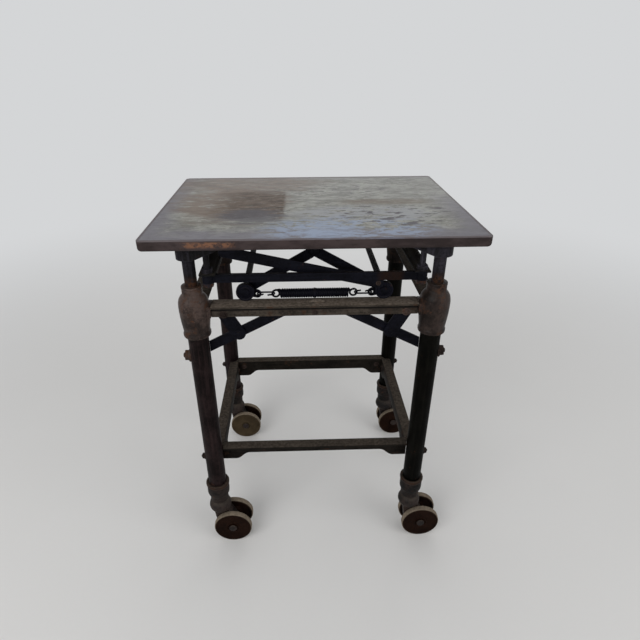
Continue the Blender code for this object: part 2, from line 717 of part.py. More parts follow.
def apex_lug(end):
    """A lug under the middle of the plate, whose pin the two struts meet on."""
    sign = ENDS[end]
    name = f"apex_lug_{end}"
    pin = (0, APEX_HEIGHT)
    base = [(side * APEX_LUG_WIDTH / 2, PLATE_BOTTOM - FIT_GAP) for side in (-1, 1)]
    shoulder = [(x, z - APEX_LUG_THICKNESS) for x, z in base]
    outline = wrapped(circle(pin, APEX_LUG_EYE_OD) + base + shoulder)
    lug = plate(name, [outline], APEX_LUG_THICKNESS, upright(sign * APEX_LUG_Y))
    front = sign * (STRUT_Y + STRUT_THICKNESS / 2 + FIT_GAP)
    tip = front + sign * APEX_HEAD_THICKNESS
    join(lug, rod(f"{name}_pin", APEX_PIN_OD, (0, sign * APEX_LUG_Y, APEX_HEIGHT), (0, tip, APEX_HEIGHT)))
    join(lug, rod(f"{name}_head", APEX_HEAD_OD, (0, front, APEX_HEIGHT), (0, tip, APEX_HEIGHT)))
    return finish(lug, BLACK_IRON)


def strut(end, side):
    """A flat link from a roller axle to the apex, half lapped there with its partner."""
    sign = SIDES[side]
    y = ENDS[end] * STRUT_Y
    foot, apex = (sign * FOOT_X, AXLE_Z), (0, APEX_HEIGHT)
    outline = wrapped(circle(foot, STRUT_WIDTH) + circle(apex, STRUT_WIDTH))
    loops = [
        outline,
        circle(foot, AXLE_OD + 2 * FIT_GAP),
        circle(apex, APEX_PIN_OD + 2 * APEX_PLAY),
    ]
    name = f"strut_{end}_{side}"
    link = plate(name, loops, STRUT_THICKNESS, upright(y))
    lap = y + sign * STRUT_THICKNESS
    edge = y - sign * FIT_GAP / 2
    cut(link, rod(f"{name}_lap", 2 * LAP_RADIUS, (0, edge, APEX_HEIGHT), (0, lap, APEX_HEIGHT), ROUND_SIDES))
    return finish(link, BLUE_STEEL)


def axle(side):
    """A long axle for two rollers, with a hook lug for each spring."""
    x = SIDES[side] * FOOT_X
    name = f"roller_axle_{side}"
    end_y = AXLE_HEAD_Y + AXLE_HEAD_THICKNESS
    shaft = rod(name, AXLE_OD, (x, -end_y, AXLE_Z), (x, end_y, AXLE_Z))
    eye = (SIDES[side] * SPRING_EYE_X, SPRING_HEIGHT)
    for end, sign in ENDS.items():
        inner, outer = (x, sign * AXLE_HEAD_Y, AXLE_Z), (x, sign * end_y, AXLE_Z)
        outline = wrapped(circle((x, AXLE_Z), LUG_HUB_OD) + circle(eye, LUG_EYE_OD))
        loops = [outline, circle(eye, LUG_HOLE_OD, PIN_SIDES)]
        join(shaft, plate(f"{name}_lug_{end}", loops, LUG_THICKNESS, upright(sign * LUG_Y)))
        join(shaft, rod(f"{name}_head_{end}", AXLE_HEAD_OD, inner, outer))
    return finish(shaft, BLACK_IRON)


def roller(end, side):
    half = ROLLER_WIDTH / 2
    bore = AXLE_OD / 2 + FIT_GAP
    profile = [(ROLLER_RADIUS, half), (ROLLER_RADIUS, -half), (bore, -half), (bore, half)]
    wheel = turned(f"roller_{end}_{side}", profile)
    wheel.rotation_euler = (math.pi / 2, 0, 0)
    wheel.location = (SIDES[side] * FOOT_X, ENDS[end] * ROLLER_Y, AXLE_Z)
    return finish(wheel, BLACK_IRON)


def spring_path():
    """Hook, lead, coil, lead and hook as one line along X, centred on the coil's axis."""
    radius = (SPRING_OD - SPRING_WIRE) / 2
    half = SPRING_COIL_LENGTH / 2
    turn = 2 * math.pi
    total = SPRING_CURLS * POINTS_PER_CURL
    coil = []
    for i in range(total + 1):
        angle = turn * i / POINTS_PER_CURL
        x = -half + SPRING_COIL_LENGTH * i / total
        coil.append((x, radius * math.cos(angle), radius * math.sin(angle)))
    lead = []
    for i in range(1, 6):
        t = i / 5
        angle = turn * 0.5 * t
        shrink = radius * math.cos(math.pi / 2 * t)
        lead.append((half + SPRING_LEAD * t, shrink * math.cos(angle), shrink * math.sin(angle)))
    hook_x = SPRING_EYE_X - SPRING_HOOK_RADIUS
    hook = [(hook_x - 2 * SPRING_HOOK_RADIUS, 0, 0)]
    for i in range(-3, 8):
        angle = turn * i / 18 - turn / 4 + turn / 9
        offset = SPRING_HOOK_RADIUS * Vector((math.cos(angle), math.sin(angle), 0))
        hook.append((hook_x + offset.x, offset.y, 0))
    end = lead + hook
    start = [(-x, y, -z) for x, y, z in end[::-1]]
    return start + coil + end


def least_gap(points, wire, reach):
    """The smallest space between turns of the wire that are further apart along it than reach."""
    points = np.array(points)
    steps = np.linalg.norm(np.diff(points, axis=0), axis=1)
    along = np.concatenate([[0], np.cumsum(steps)])
    samples = np.linspace(0, along[-1], 8 * len(points))
    fine = np.stack([np.interp(samples, along, points[:, k]) for k in range(3)], axis=1)
    best = np.inf
    for i in range(0, len(fine), 4):
        far = np.abs(samples - samples[i]) > reach
        best = min(best, np.linalg.norm(fine[far] - fine[i], axis=1).min())
    return best - wire


def spring(end):
    name = f"lift_spring_{end}"
    path = spring_path()
    curve = bpy.data.curves.new(name, "CURVE")
    curve.dimensions = "3D"
    curve.bevel_depth = SPRING_WIRE / 2
    curve.bevel_resolution = 1
    curve.use_fill_caps = True
    spline = curve.splines.new("POLY")
    spline.points.add(len(path) - 1)
    for point, place in zip(spline.points, path):
        point.co = (*place, 1)
    obj = bpy.data.objects.new(name, curve)
    obj.matrix_world = Matrix.Translation((0, ENDS[end] * LUG_Y, SPRING_HEIGHT))
    parts.objects.link(obj)
    turn_length = math.pi * (SPRING_OD - SPRING_WIRE)
    gap = least_gap(path, SPRING_WIRE, turn_length / 2)
    print(f"{name}: least gap between turns {gap * 1000:.2f} mm")
    return finish(solid_of(obj), BLUE_STEEL)


def swivel(corner):
    """Stem, ball and horn of a caster, with the wheels' pin riveted through the horn."""
    sx, sy = CORNERS[corner]
    x, y = sx * LEG_X, sy * LEG_Y
    name = f"caster_swivel_{corner}"
    stem, head = STEM_OD / 2, STEM_HEAD_OD / 2
    head_low = FERRULE_SEAT + FIT_GAP
    head_high = head_low + STEM_HEAD_THICKNESS
    first = math.acos(BALL_TOP / BALL_HALF_HEIGHT)
    steps = [first + (math.pi - first) * i / 6 for i in range(6)]
    ball = [(BALL_RADIUS * math.sin(a), BALL_Z + BALL_HALF_HEIGHT * math.cos(a)) for a in steps]
    profile = [(0, head_high), (head, head_high), (head, head_low), (stem, head_low)]
    profile += [(stem, BALL_Z + BALL_TOP)] + ball + [(0, BALL_Z - BALL_HALF_HEIGHT)]
    body = turned(name, profile)
    body.location = (x, y, 0)
    hub = (x + CASTER_TRAIL, WHEEL_RADIUS)
    root = circle((x, BALL_Z - BALL_HALF_HEIGHT / 4), BALL_HALF_HEIGHT * 1.4)
    heel = (x - HORN_HEEL_BACK, HORN_HEEL_HEIGHT)
    outline = wrapped(root + circle(hub, HORN_BOSS_OD) + [heel])
    join(body, plate(f"{name}_horn", [outline], HORN_THICKNESS, upright(y)))
    inner = DISC_OUTER + FIT_GAP
    outer = inner + WHEEL_PIN_HEAD_THICKNESS
    pin = ((hub[0], y - outer, hub[1]), (hub[0], y + outer, hub[1]))
    join(body, rod(f"{name}_pin", WHEEL_PIN_OD, *pin))
    for end, sign in ENDS.items():
        rivet = ((hub[0], y + sign * inner, hub[1]), (hub[0], y + sign * outer, hub[1]))
        join(body, rod(f"{name}_rivet_{end}", WHEEL_PIN_HEAD_OD, *rivet))
    return finish(body, BLACK_IRON)


def wheel(corner, end):
    """One dished disc of a twin-wheel caster, turned with its open face outward."""
    sx, sy = CORNERS[corner]
    half = WHEEL_WIDTH / 2
    rim_inner = WHEEL_RADIUS - WHEEL_RIM_WIDTH
    hub = WHEEL_HUB_OD / 2
    bore = WHEEL_PIN_OD / 2 + FIT_GAP
    profile = [
        (bore, half),
        (hub, half),
        (hub + WHEEL_DISH, half - WHEEL_DISH),
        (rim_inner - WHEEL_DISH, half - WHEEL_DISH),
        (rim_inner, half),
        (WHEEL_RADIUS - WHEEL_EDGE, half),
        (WHEEL_RADIUS, half - WHEEL_EDGE),
        (WHEEL_RADIUS, -half),
        (bore, -half),
    ]
    disc = turned(f"wheel_{corner}_{end}", profile, WHEEL_SIDES)
    disc.rotation_euler = (-ENDS[end] * math.pi / 2, 0, 0)
    y = sy * LEG_Y + ENDS[end] * (DISC_INNER + half)
    disc.location = (sx * LEG_X + CASTER_TRAIL, y, WHEEL_RADIUS)
    return finish(disc, WHEEL_IRON)


def build_base():
    for corner in CORNERS:
        leg(corner)
        socket(corner)
        ferrule(corner)
    for side in (*ENDS, *SIDES):
        upper_rail(side)
        lower_rail(side)
    for side in SIDES:
        brace(side)
        strap(side)


def build_top():
    lift = pivot("top_lift", (0, 0, PLATE_BOTTOM))
    pieces = [top_plate(), stay()]
    pieces += [bracket(corner) for corner in CORNERS]
    pieces += [cross_bar(end) for end in ENDS]
    pieces += [side_flat(side) for side in SIDES]
    pieces += [apex_lug(end) for end in ENDS]
    for piece in pieces:
        hang(piece, lift)


def build_lift():
    for side, sign in SIDES.items():
        foot = pivot(f"{side}_foot", (sign * FOOT_X, 0, AXLE_Z))
        hang(axle(side), foot)
        for end in ENDS:
            hang(strut(end, side), foot)
            roller(end, side)
    for end in ENDS:
        spring(end)


def build_casters():
    for corner, (sx, sy) in CORNERS.items():
        stem = pivot(f"swivel_{corner}", (sx * LEG_X, sy * LEG_Y, BALL_Z))
        hang(swivel(corner), stem)
        for end in ENDS:
            wheel(corner, end)


build_base()
build_top()
build_lift()
build_casters()
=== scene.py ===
"""Finishes, worked surfaces and small hardware of a printer's turtle table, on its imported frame."""

import math

import bpy
from mathutils import Matrix, Vector


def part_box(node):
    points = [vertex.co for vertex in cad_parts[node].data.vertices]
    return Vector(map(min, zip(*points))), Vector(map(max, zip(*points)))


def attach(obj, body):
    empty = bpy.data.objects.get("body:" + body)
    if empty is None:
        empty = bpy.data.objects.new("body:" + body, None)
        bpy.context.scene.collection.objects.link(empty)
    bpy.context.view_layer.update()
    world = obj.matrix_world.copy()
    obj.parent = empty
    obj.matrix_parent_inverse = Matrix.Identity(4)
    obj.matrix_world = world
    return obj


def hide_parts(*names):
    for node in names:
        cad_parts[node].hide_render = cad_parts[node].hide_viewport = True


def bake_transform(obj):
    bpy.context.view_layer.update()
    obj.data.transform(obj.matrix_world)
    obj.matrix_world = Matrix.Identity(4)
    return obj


bl_info = {
    "name": "Turtle table",
    "version": (1, 0, 0),
    "blender": (4, 5, 0),
    "location": "3D View > Sidebar > Turtle",
    "description": "Dresses a printer's turtle table: worn top, oily frame, sprung lift, casters",
    "category": "Object",
}

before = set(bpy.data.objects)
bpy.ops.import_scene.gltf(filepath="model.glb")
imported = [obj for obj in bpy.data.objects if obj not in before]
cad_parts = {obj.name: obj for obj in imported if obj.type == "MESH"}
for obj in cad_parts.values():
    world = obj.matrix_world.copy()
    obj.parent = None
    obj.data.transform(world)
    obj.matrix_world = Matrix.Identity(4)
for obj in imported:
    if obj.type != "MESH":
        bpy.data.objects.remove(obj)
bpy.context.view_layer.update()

CORNERS = {
    "front_left": (-1, -1),
    "front_right": (1, -1),
    "back_left": (-1, 1),
    "back_right": (1, 1),
}
SIDES = {"left": -1, "right": 1}
ENDS = {"front": -1, "back": 1}
AROUND = (*ENDS, *SIDES)
X, Y, Z = Vector((1, 0, 0)), Vector((0, 1, 0)), Vector((0, 0, 1))

# In metres
CLEARANCE = 0.0003  # between pieces that turn, slide or sit in one another
POST_CLEARANCE = 0.0004  # round a guide post in its socket
LEVEL = 0.0001  # points whose heights differ by less are level
MERGE = 0.00001  # points closer than this become one
WIRE_MERGE = 0.000001  # the same in the springs
SEED = 0.001  # size of the plane that shrinks to a profile's first point
SKIN = 0.00005  # how far a turned surface stands over the facets that it covers
POST_SKIN = 0.00004  # the same on the guide posts

FLAT_ANGLE = math.radians(0.5)  # faces that differ by less become one
BEVEL_ANGLE = math.radians(38)  # edges that are sharper get a round
SMOOTH_ANGLE = math.radians(32)  # edges that are sharper stay visible


def low(node):
    return Vector(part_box(node)[0])


def high(node):
    return Vector(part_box(node)[1])


def middle(node):
    return (low(node) + high(node)) / 2


def span(node):
    return high(node) - low(node)


# Finishes


def maths(operation, swapped=False):
    """A method that adds a Math node for a wire and another value."""

    def method(self, other):
        first, second = (other, self) if swapped else (self, other)
        sockets = {0: first, 1: second}
        return self.tree.node("ShaderNodeMath", {"operation": operation}, sockets)

    return method


class Wire:
    """A socket in a tree of nodes. Arithmetic on it adds Math nodes."""

    def __init__(self, tree, socket):
        self.tree = tree
        self.socket = socket

    __add__, __radd__ = maths("ADD"), maths("ADD", True)
    __sub__, __rsub__ = maths("SUBTRACT"), maths("SUBTRACT", True)
    __mul__, __pow__, most = maths("MULTIPLY"), maths("POWER"), maths("MAXIMUM")

    def __abs__(self):
        return self.tree.node("ShaderNodeMath", {"operation": "ABSOLUTE"}, {0: self})


class Tree:
    """The nodes of a material or of the world."""

    def __init__(self, tree):
        self.tree = tree

    def feed(self, socket, value):
        if isinstance(value, Wire):
            self.tree.links.new(value.socket, socket)
        else:
            socket.default_value = value

    def node(self, kind, settings=None, sockets=None, out=0):
        """Add a node with its settings and the values or links of its sockets."""
        node = self.tree.nodes.new(kind)
        for key, value in (settings or {}).items():
            setattr(node, key, value)
        for key, value in (sockets or {}).items():
            self.feed(node.inputs[key], value)
        return Wire(self, node.outputs[out])

    def looking(self):
        """1 for rays that show the backdrop itself, 0 for those that carry its light."""
        camera, glossy, through = (
            self.node("ShaderNodeLightPath", out=f"Is {kind} Ray")
            for kind in ("Camera", "Glossy", "Transmission")
        )
        return camera.most(glossy).most(through)


class Finish(Tree):
    """A material whose pattern is worked out from the table's own metres."""

    def __init__(self, name):
        self.material = bpy.data.materials.new(name)
        self.material.use_nodes = True
        super().__init__(self.material.node_tree)
        self.shader = self.tree.nodes["Principled BSDF"]
        self.place = self.node("ShaderNodeTexCoord", out="Object")
        axes = self.tree.nodes.new("ShaderNodeSeparateXYZ")
        self.feed(axes.inputs[0], self.place)
        self.x, self.y, self.z = (Wire(self, output) for output in axes.outputs)
        self.colour = None

    def noise(self, size, detail, rough, stretch=(1, 1, 1), shift=(0, 0, 0)):
        """Cloudy noise whose features are about size metres, longer along the stretched axes."""
        scale = [1 / (size * factor) for factor in stretch]
        sockets = {"Vector": self.place, "Location": shift, "Scale": scale}
        spread = self.node("ShaderNodeMapping", None, sockets)
        sockets = {"Vector": spread, "Scale": 1, "Detail": detail, "Roughness": rough}
        return self.node("ShaderNodeTexNoise", None, sockets)

    def step(self, value, start, end):
        """0 before start, 1 after end, smooth between."""
        settings = {"interpolation_type": "SMOOTHSTEP"}
        return self.node("ShaderNodeMapRange", settings, {0: value, 1: start, 2: end})

    def mix(self, share, first, second):
        """Blend two colours."""
        pair = [end if isinstance(end, Wire) else (*end, 1) for end in (first, second)]
        sockets = {0: share, 6: pair[0], 7: pair[1]}
        return self.node("ShaderNodeMix", {"data_type": "RGBA"}, sockets, out=2)

    def patch(self, centre, radii, ragged=0.0, grain=None):
        """1 inside an oval on the top, falling to 0 at its ragged rim."""
        across = (self.x - centre[0]) * (1 / radii[0])
        along = (self.y - centre[1]) * (1 / radii[1])
        distance = (across * across + along * along) ** 0.5
        if grain is not None:
            distance = distance + (grain - 0.5) * ragged
        return 1 - self.step(distance, 0.55, 1.1)

    def upward(self):
        """1 on faces that look up."""
        normal = self.node("ShaderNodeNewGeometry", out="Normal")
        axes = self.tree.nodes.new("ShaderNodeSeparateXYZ")
        self.feed(axes.inputs[0], normal)
        return self.step(Wire(self, axes.outputs[2]), 0.35, 0.9)

    def edges(self, radius):
        """1 along the edges of a piece."""
        worn = self.node("ShaderNodeBevel", {"samples": 4}, {"Radius": radius})
        plain = self.node("ShaderNodeNewGeometry", out="Normal")
        settings = {"operation": "DOT_PRODUCT"}
        facing = self.node("ShaderNodeVectorMath", settings, {0: worn, 1: plain}, out=1)
        return 1 - self.step(facing, 0.86, 0.99)

    def lay(self, share, colour):
        """Put a colour over what is there."""
        self.colour = self.mix(share, self.colour, colour)

    def done(self, rough, metallic, gloss, height, depth, strength):
        """Wire the shader with the colour that was laid, and with a bump."""
        sockets = {"Height": height, "Distance": depth, "Strength": strength}
        for key, value in {
            "Base Color": self.colour,
            "Roughness": rough,
            "Metallic": metallic,
            "Specular IOR Level": gloss,
            "Normal": self.node("ShaderNodeBump", None, sockets),
        }.items():
            self.feed(self.shader.inputs[key], value)
        return self.material


# Settings


def tint(name, description, default):
    """A colour that a user can change."""
    return bpy.props.FloatVectorProperty(
        name=name, description=description, subtype="COLOR", default=default
    )


def measure(name, description, default):
    """A length that a user can change."""
    return bpy.props.FloatProperty(
        name=name, description=description, default=default, unit="LENGTH"
    )


class TurtleColours(bpy.types.PropertyGroup):
    """Colours of the finishes."""

    steel: tint("Top steel", "Worn grey of the top", (0.258, 0.258, 0.234))
    lilac: tint("Border", "Lilac-grey border of the top", (0.202, 0.193, 0.217))
    patina: tint("Patina", "Brown stain on the top", (0.134, 0.100, 0.078))
    # This colour, made brighter, also paints the sheen near the top's front edge.
    scuff: tint("Scuff", "Bright blue-grey scuffs", (0.29, 0.345, 0.455))
    pale: tint("Pale wear", "Pale bare steel on the top", (0.322, 0.330, 0.345))
    streak: tint("Streak", "Brown streak on the top", (0.150, 0.118, 0.086))
    fleck: tint("Fleck", "Dark flecks on the top", (0.074, 0.064, 0.074))
    rim: tint("Top edge", "Brown edge of the top", (0.0415, 0.0308, 0.0302))
    rust: tint("Rust", "Orange rust", (0.13, 0.058, 0.03))
    bright_rust: tint("Bright rust", "Rust on the top's edge", (0.205, 0.110, 0.072))
    iron: tint("Iron", "Oily black iron", (0.008, 0.0072, 0.0072))
    violet: tint("Violet iron", "Brown-violet bloom of the left legs", (0.03, 0.018, 0.018))
    olive: tint("Olive iron", "Olive bloom of the right legs", (0.017, 0.0155, 0.0115))
    slate: tint("Slate iron", "Grey bloom of the guide posts", (0.017, 0.0155, 0.020))
    brown: tint("Brown iron", "Brown bloom of the castings", (0.058, 0.040, 0.034))
    dust: tint("Dust", "Dust on the rails", (0.058, 0.047, 0.0375))
    blue: tint("Blue steel", "Blue-black bars and springs", (0.0047, 0.0048, 0.0082))
    tread: tint("Tread", "Pale worn treads", (0.245, 0.198, 0.148))
    wheel: tint("Wheel", "Red-brown wheel faces", (0.0086, 0.0035, 0.0020))
    tan: tint("Tan wheel", "Tan face of one wheel", (0.046, 0.033, 0.019))
    floor: tint("Floor", "Pale studio floor", (0.80, 0.79, 0.775))
    backdrop: tint("Backdrop", "Pale far background", (0.66, 0.67, 0.68))
    light: tint("Light", "Soft light from all round", (0.86, 0.87, 0.88))


class TurtleSizes(bpy.types.PropertyGroup):
    """Sizes of the worked edges and turned pieces."""

    soft_edge: measure("Soft edge", "Round on the edges of bars and rails", 0.0009)
    top_corner: measure("Top corner", "Plan radius of the top's corners", 0.01)
    top_lower_round: measure("Lower round", "Round on the top's lower edge", 0.006)
    top_upper_round: measure("Upper round", "Round on the top's upper edge", 0.0012)
    pipe_wall: measure("Pipe wall", "Wall of the pipe legs", 0.004)
    post_radius: measure("Post", "Radius of the guide posts", 0.0125)
    stem_radius: measure("Stem bore", "Radius of the bore for a caster's stem", 0.0106)
    axle_radius: measure("Axle", "Radius of the roller axles", 0.007)
    wheel_pin: measure("Wheel pin", "Radius of the wheels' pins", 0.005)
    ball_radius: measure("Ball", "Radius of the swivel's flattened ball", 0.028)
    ball_half_height: measure("Ball height", "Half the height of the flattened ball", 0.0238)
    ball_top: measure("Ball top", "Height of the ball's flat above its middle", 0.0204)
    spring_wire: measure("Spring wire", "Thickness of the spring wire", 0.0049)
    spring_radius: measure("Spring", "Outer radius of the springs", 0.01015)
    coil_half: measure("Half coil", "Half the length of a coil", 0.0765)
    flange_thick: measure("Flange", "Thickness of the upper rail's flange", 0.005)
    flange_overhang: measure("Overhang", "How far the upper rail's flange stands out", 0.006)
    strap_width: measure("Strap", "Width of the brace straps", 0.03)
    stay_width: measure("Stay", "Width of the diagonal stay", 0.0225)
    round_sides: bpy.props.IntProperty(
        name="Facets", description="Facets of the turned pieces", default=64, min=16
    )
    wire_sides: bpy.props.IntProperty(
        name="Wire facets", description="Facets of the spring wire", default=10, min=6
    )


def colours():
    return bpy.context.scene.turtle_colours


def sizes():
    return bpy.context.scene.turtle_sizes


def shade(colour, factor):
    return tuple(channel * factor for channel in colour)


def tone(name, factor=1.0):
    """A set colour, made darker or lighter by a factor."""
    return shade(getattr(colours(), name), factor)


# Looks


ALONG, UPRIGHT = (22, 22, 1), (1, 1, 22)  # how a stretched pattern runs


def iron(
    name, base, bloom, rust=0.4, dust=0.0, runs=0.0, way=UPRIGHT, shine=0.42,
    shift=(0, 0, 0), extra=None, dust_and_light_gain=1.0, gloss=0.05, speckle=1.0,
):
    """Old oily iron: a dark base with a bloom, rust in patches, dust on top, which a raised factor
    brightens into partly painted light, and worn edges.
    """
    base, bloom = tone(*base), tone(*bloom)
    f = Finish(name)
    cloud = f.noise(0.050, 5, 0.62, shift=shift)
    grain = f.noise(0.006, 6, 0.65, shift=shift)
    fine = f.noise(0.0014, 3, 0.6)
    f.colour = f.mix(f.step(cloud, 0.38, 0.62), base, bloom)
    f.lay(f.step(grain, 0.46, 0.70) * (0.75 * speckle), shade(base, 0.35))
    flakes = f.step(f.noise(0.0032, 5, 0.7, shift=shift), 0.57, 0.68)
    f.lay(flakes * (0.6 * speckle), shade(bloom, 1.9))
    if runs:
        lines = f.noise(0.006, 5, 0.65, stretch=way, shift=shift)
        f.lay(f.step(lines, 0.50, 0.68) * runs, shade(bloom, 2.2))
        f.lay(f.step(1 - lines, 0.54, 0.68) * runs, shade(base, 0.30))
    spots = f.noise(0.030, 7, 0.70, shift=(3.1 + shift[0], 1.7, 0.4))
    place = f.step(spots, 0.66 - 0.16 * rust, 0.74 - 0.10 * rust)
    rusted = place * f.step(grain, 0.34, 0.60) * min(0.9, 0.35 + rust * 0.6)
    f.lay(rusted, f.mix(fine, tone("rust", 0.30), tone("rust", 0.75)))
    worn = f.edges(0.0018) * f.step(grain, 0.38, 0.58)
    f.lay(worn * 0.7, shade(bloom, 3.0))
    if extra:
        extra(f, grain)
    rough = shine + grain * 0.25 + rusted * 0.25
    # Dust on faces that look up, brightened by a factor. Where that factor is raised far over the
    # dust's own colour, as on the upper rail, the lighter top is partly dust and partly painted
    # light. That painted light stands in for the light that the table's top shades off.
    if dust:
        settled = f.upward() * (0.35 + cloud * 0.9) * dust
        thin, thick = tone("dust", 0.60 * dust_and_light_gain), tone("dust", 1.35 * dust_and_light_gain)
        f.lay(settled, f.mix(f.step(grain, 0.36, 0.66), thin, thick))
        rough = rough + settled * 0.25
    height = grain * 0.6 + fine * 0.25 + flakes * 0.3
    return f.done(rough, 0.0, gloss, height, depth=0.0008, strength=0.6 * speckle)


def rubbed_posts(f, grain):
    """Brown rust on the guide posts just over their sockets, where they rub."""
    start = high("socket_front_left").z
    place = 1 - f.step(f.z + grain * 0.012, start + 0.014, start + 0.034)
    f.lay(place * f.step(grain, 0.36, 0.62) * 0.8, tone("rust", 0.42))


def rail_shadow_and_rust(f, grain):
    """A painted shadow line on the web under the flange, and rust that has run from the bolts."""
    corner = high("upper_rail_front").z - sizes().flange_thick
    # Painted shade: a dark band on the web just under the flange, where the flange shades it.
    line = f.step(f.z, corner - 0.0078, corner - 0.0054)
    line = line * (1 - f.step(f.z, corner - 0.0002, corner + 0.0004))
    f.lay(line * 0.9, tone("iron", 0.45))
    stretch = f.noise(0.045, 4, 0.6, stretch=(1, 1, 3), shift=(0.3, 0.9, 0.1))
    run = f.step(stretch, 0.56, 0.66) * f.step(grain, 0.36, 0.60) * (1 - line)
    f.lay(run * 0.55, tone("rust", 0.45))


def rusty_bead(f, grain):
    """Red-brown rust on the bead at the top of a ferrule."""
    top = high("caster_ferrule_front_left").z
    bead = f.step(f.z + (grain - 0.5) * 0.006, top - 0.0110, top - 0.0085)
    f.lay(bead * f.step(grain, 0.34, 0.62) * 0.65, tone("rust", 0.30))


def red_stretch(f, grain):
    """A reddish stretch near the right end of a bar."""
    place = (f.x - 0.150) * (1 / 0.028)
    f.lay((1 - f.step(place * place, 0.3, 1.2)) * grain, tone("rust", 0.16))


# Place on the top and radii of the flecks that stand out
LARGE_FLECKS = (
    ((0.195, -0.167), (0.014, 0.009)),
    ((0.151, -0.138), (0.020, 0.008)),
    ((0.273, -0.063), (0.012, 0.010)),
)


def top_steel(name):
    """Olive-grey steel under brown stains, with scuffs, dark flecks and a lilac border."""
    f = Finish(name)
    bottom, top = low("top_plate").z, high("top_plate").z
    half_x, half_y = span("top_plate").x / 2, span("top_plate").y / 2
    cloud = f.noise(0.11, 6, 0.62)
    drift = f.noise(0.045, 6, 0.66, stretch=(2.2, 1, 1), shift=(0.3, 0.1, 0))
    grain = f.noise(0.011, 6, 0.70, stretch=(2.8, 1, 1))
    fine = f.noise(0.0024, 4, 0.65, stretch=(2, 1, 1))
    scratch = f.noise(0.0032, 3, 0.6, stretch=(26, 1, 1))
    steel, patina = tone("steel"), tone("patina")

    f.colour = f.mix(f.step(drift, 0.42, 0.58), shade(steel, 0.84), shade(steel, 1.20))
    wear = f.noise(0.016, 7, 0.74, stretch=(3, 1, 1), shift=(0.9, 0.5, 0))
    f.lay(f.step(wear, 0.50, 0.54) * 0.55, shade(steel, 0.56))
    bare = f.noise(0.009, 6, 0.75, stretch=(3, 1, 1), shift=(0.1, 1.4, 0))
    f.lay(f.step(bare, 0.53, 0.57) * 0.65, shade(steel, 1.52))
    pits = f.noise(0.0055, 5, 0.70, stretch=(2.4, 1, 1), shift=(2.1, 0.3, 0))
    f.lay(f.step(pits, 0.59, 0.63) * 0.75, shade(patina, 0.85))
    f.lay(f.step(scratch, 0.56, 0.70) * 0.30, shade(steel, 1.30))

    left = 1 - f.step(f.x + (drift - 0.5) * 0.10, 0.012 - half_x, 0.070 - half_x)
    right = f.step(f.x + (drift - 0.5) * 0.10, half_x - 0.070, half_x - 0.012)
    right = right * (1 - f.step(f.y, -0.06, 0.10) * 0.85)
    front = 1 - f.step(f.y + (drift - 0.5) * 0.14, 0.020 - half_y, 0.085 - half_y)
    rear = f.step(f.y + (drift - 0.5) * 0.08, half_y - 0.050, half_y - 0.008) * 0.5
    border = left.most(right).most(front).most(rear)
    f.lay(border * 0.85, f.mix(grain, tone("lilac", 0.78), tone("lilac", 1.20)))

    halo = f.patch((-0.190, 0.010), (0.145, 0.175), 1.3, drift) * f.step(grain, 0.34, 0.50)
    f.lay(halo * 0.80, shade(patina, 1.45))
    long = f.noise(0.010, 6, 0.70, stretch=(7, 1, 1), shift=(0.6, 0.4, 0))
    rear_runs = f.patch((-0.160, 0.180), (0.230, 0.120), 0.9, drift)
    rear_runs = rear_runs * (0.45 + f.step(long, 0.36, 0.56) * 0.55)
    stain = f.mix(f.step(grain, 0.38, 0.60), shade(patina, 0.80), shade(patina, 1.45))
    f.lay(rear_runs * 0.90, stain)
    ragged = (long - 0.5) * 0.36
    rise = (drift - 0.5) * 0.18 + (grain - 0.5) * 0.10
    core = f.step(f.x + ragged, -0.245, -0.165)
    core = core * (1 - f.step(f.x + (grain - 0.5) * 0.024, -0.066, -0.056))
    core = core * f.step(f.y + rise, -0.125, -0.095) * (1 - f.step(f.y + rise, 0.070, 0.130))
    stain = f.mix(f.step(long, 0.42, 0.58), shade(patina, 0.58), shade(patina, 1.08))
    islands = f.noise(0.0085, 6, 0.74, stretch=(3.2, 1, 1), shift=(1.7, 0.2, 0))
    f.lay(core * (0.25 + f.step(islands, 0.42, 0.47) * 0.75), stain)
    wet = f.patch((-0.128, -0.105), (0.085, 0.060), 2.2, long)
    f.lay(wet * 0.80, tone("lilac", 0.52))

    wave = f.y + 0.004 + (drift - 0.5) * 0.060
    streak = (1 - f.step(wave * wave, 0.00002, 0.00070)) * f.patch((0.165, -0.004), (0.115, 0.09))
    f.lay(streak * f.step(grain, 0.30, 0.52) * 0.80, tone("streak"))

    bright = f.noise(0.013, 6, 0.74, stretch=(2.6, 1, 1), shift=(0.4, 2.2, 0))
    pale = f.patch((0.105, -0.100), (0.180, 0.075), 0.8, cloud) * f.step(bright, 0.41, 0.50)
    f.lay(pale * 0.85, tone("pale"))
    scuff = f.step(bright, 0.46, 0.53) * f.patch((0.060, -0.200), (0.190, 0.095), 0.8, cloud)
    f.lay(scuff * 0.85, tone("scuff"))
    # Painted sheen: a highlight near the front edge, laid in the scuff colour made brighter.
    sheen = f.patch((0.028, -0.216), (0.070, 0.042), 0.9, grain)
    f.lay(sheen * 0.50, tone("scuff", 1.12))

    flecks = f.noise(0.0125, 3, 0.55, stretch=(2.3, 1, 1), shift=(1.3, 0.8, 0))
    field = f.patch((0.165, -0.110), (0.150, 0.095), 0.7, cloud)
    field = field.most(f.patch((0.07, 0.11), (0.20, 0.06)) * 0.7)
    spots = f.step(flecks, 0.570, 0.600) * (0.15 + field * 0.85)
    for place, radii in LARGE_FLECKS:
        spots = spots.most(f.patch(place, radii, 0.9, fine))
    f.lay(spots * 0.85, tone("fleck"))

    outside = (abs(f.x) - half_x).most(abs(f.y) - half_y) + (grain - 0.5) * 0.006
    line = f.step(outside, -0.0080, -0.0030).most(f.step(f.y, half_y - 0.020, half_y - 0.008))
    f.lay(line * 0.65, tone("rim", 2.2))

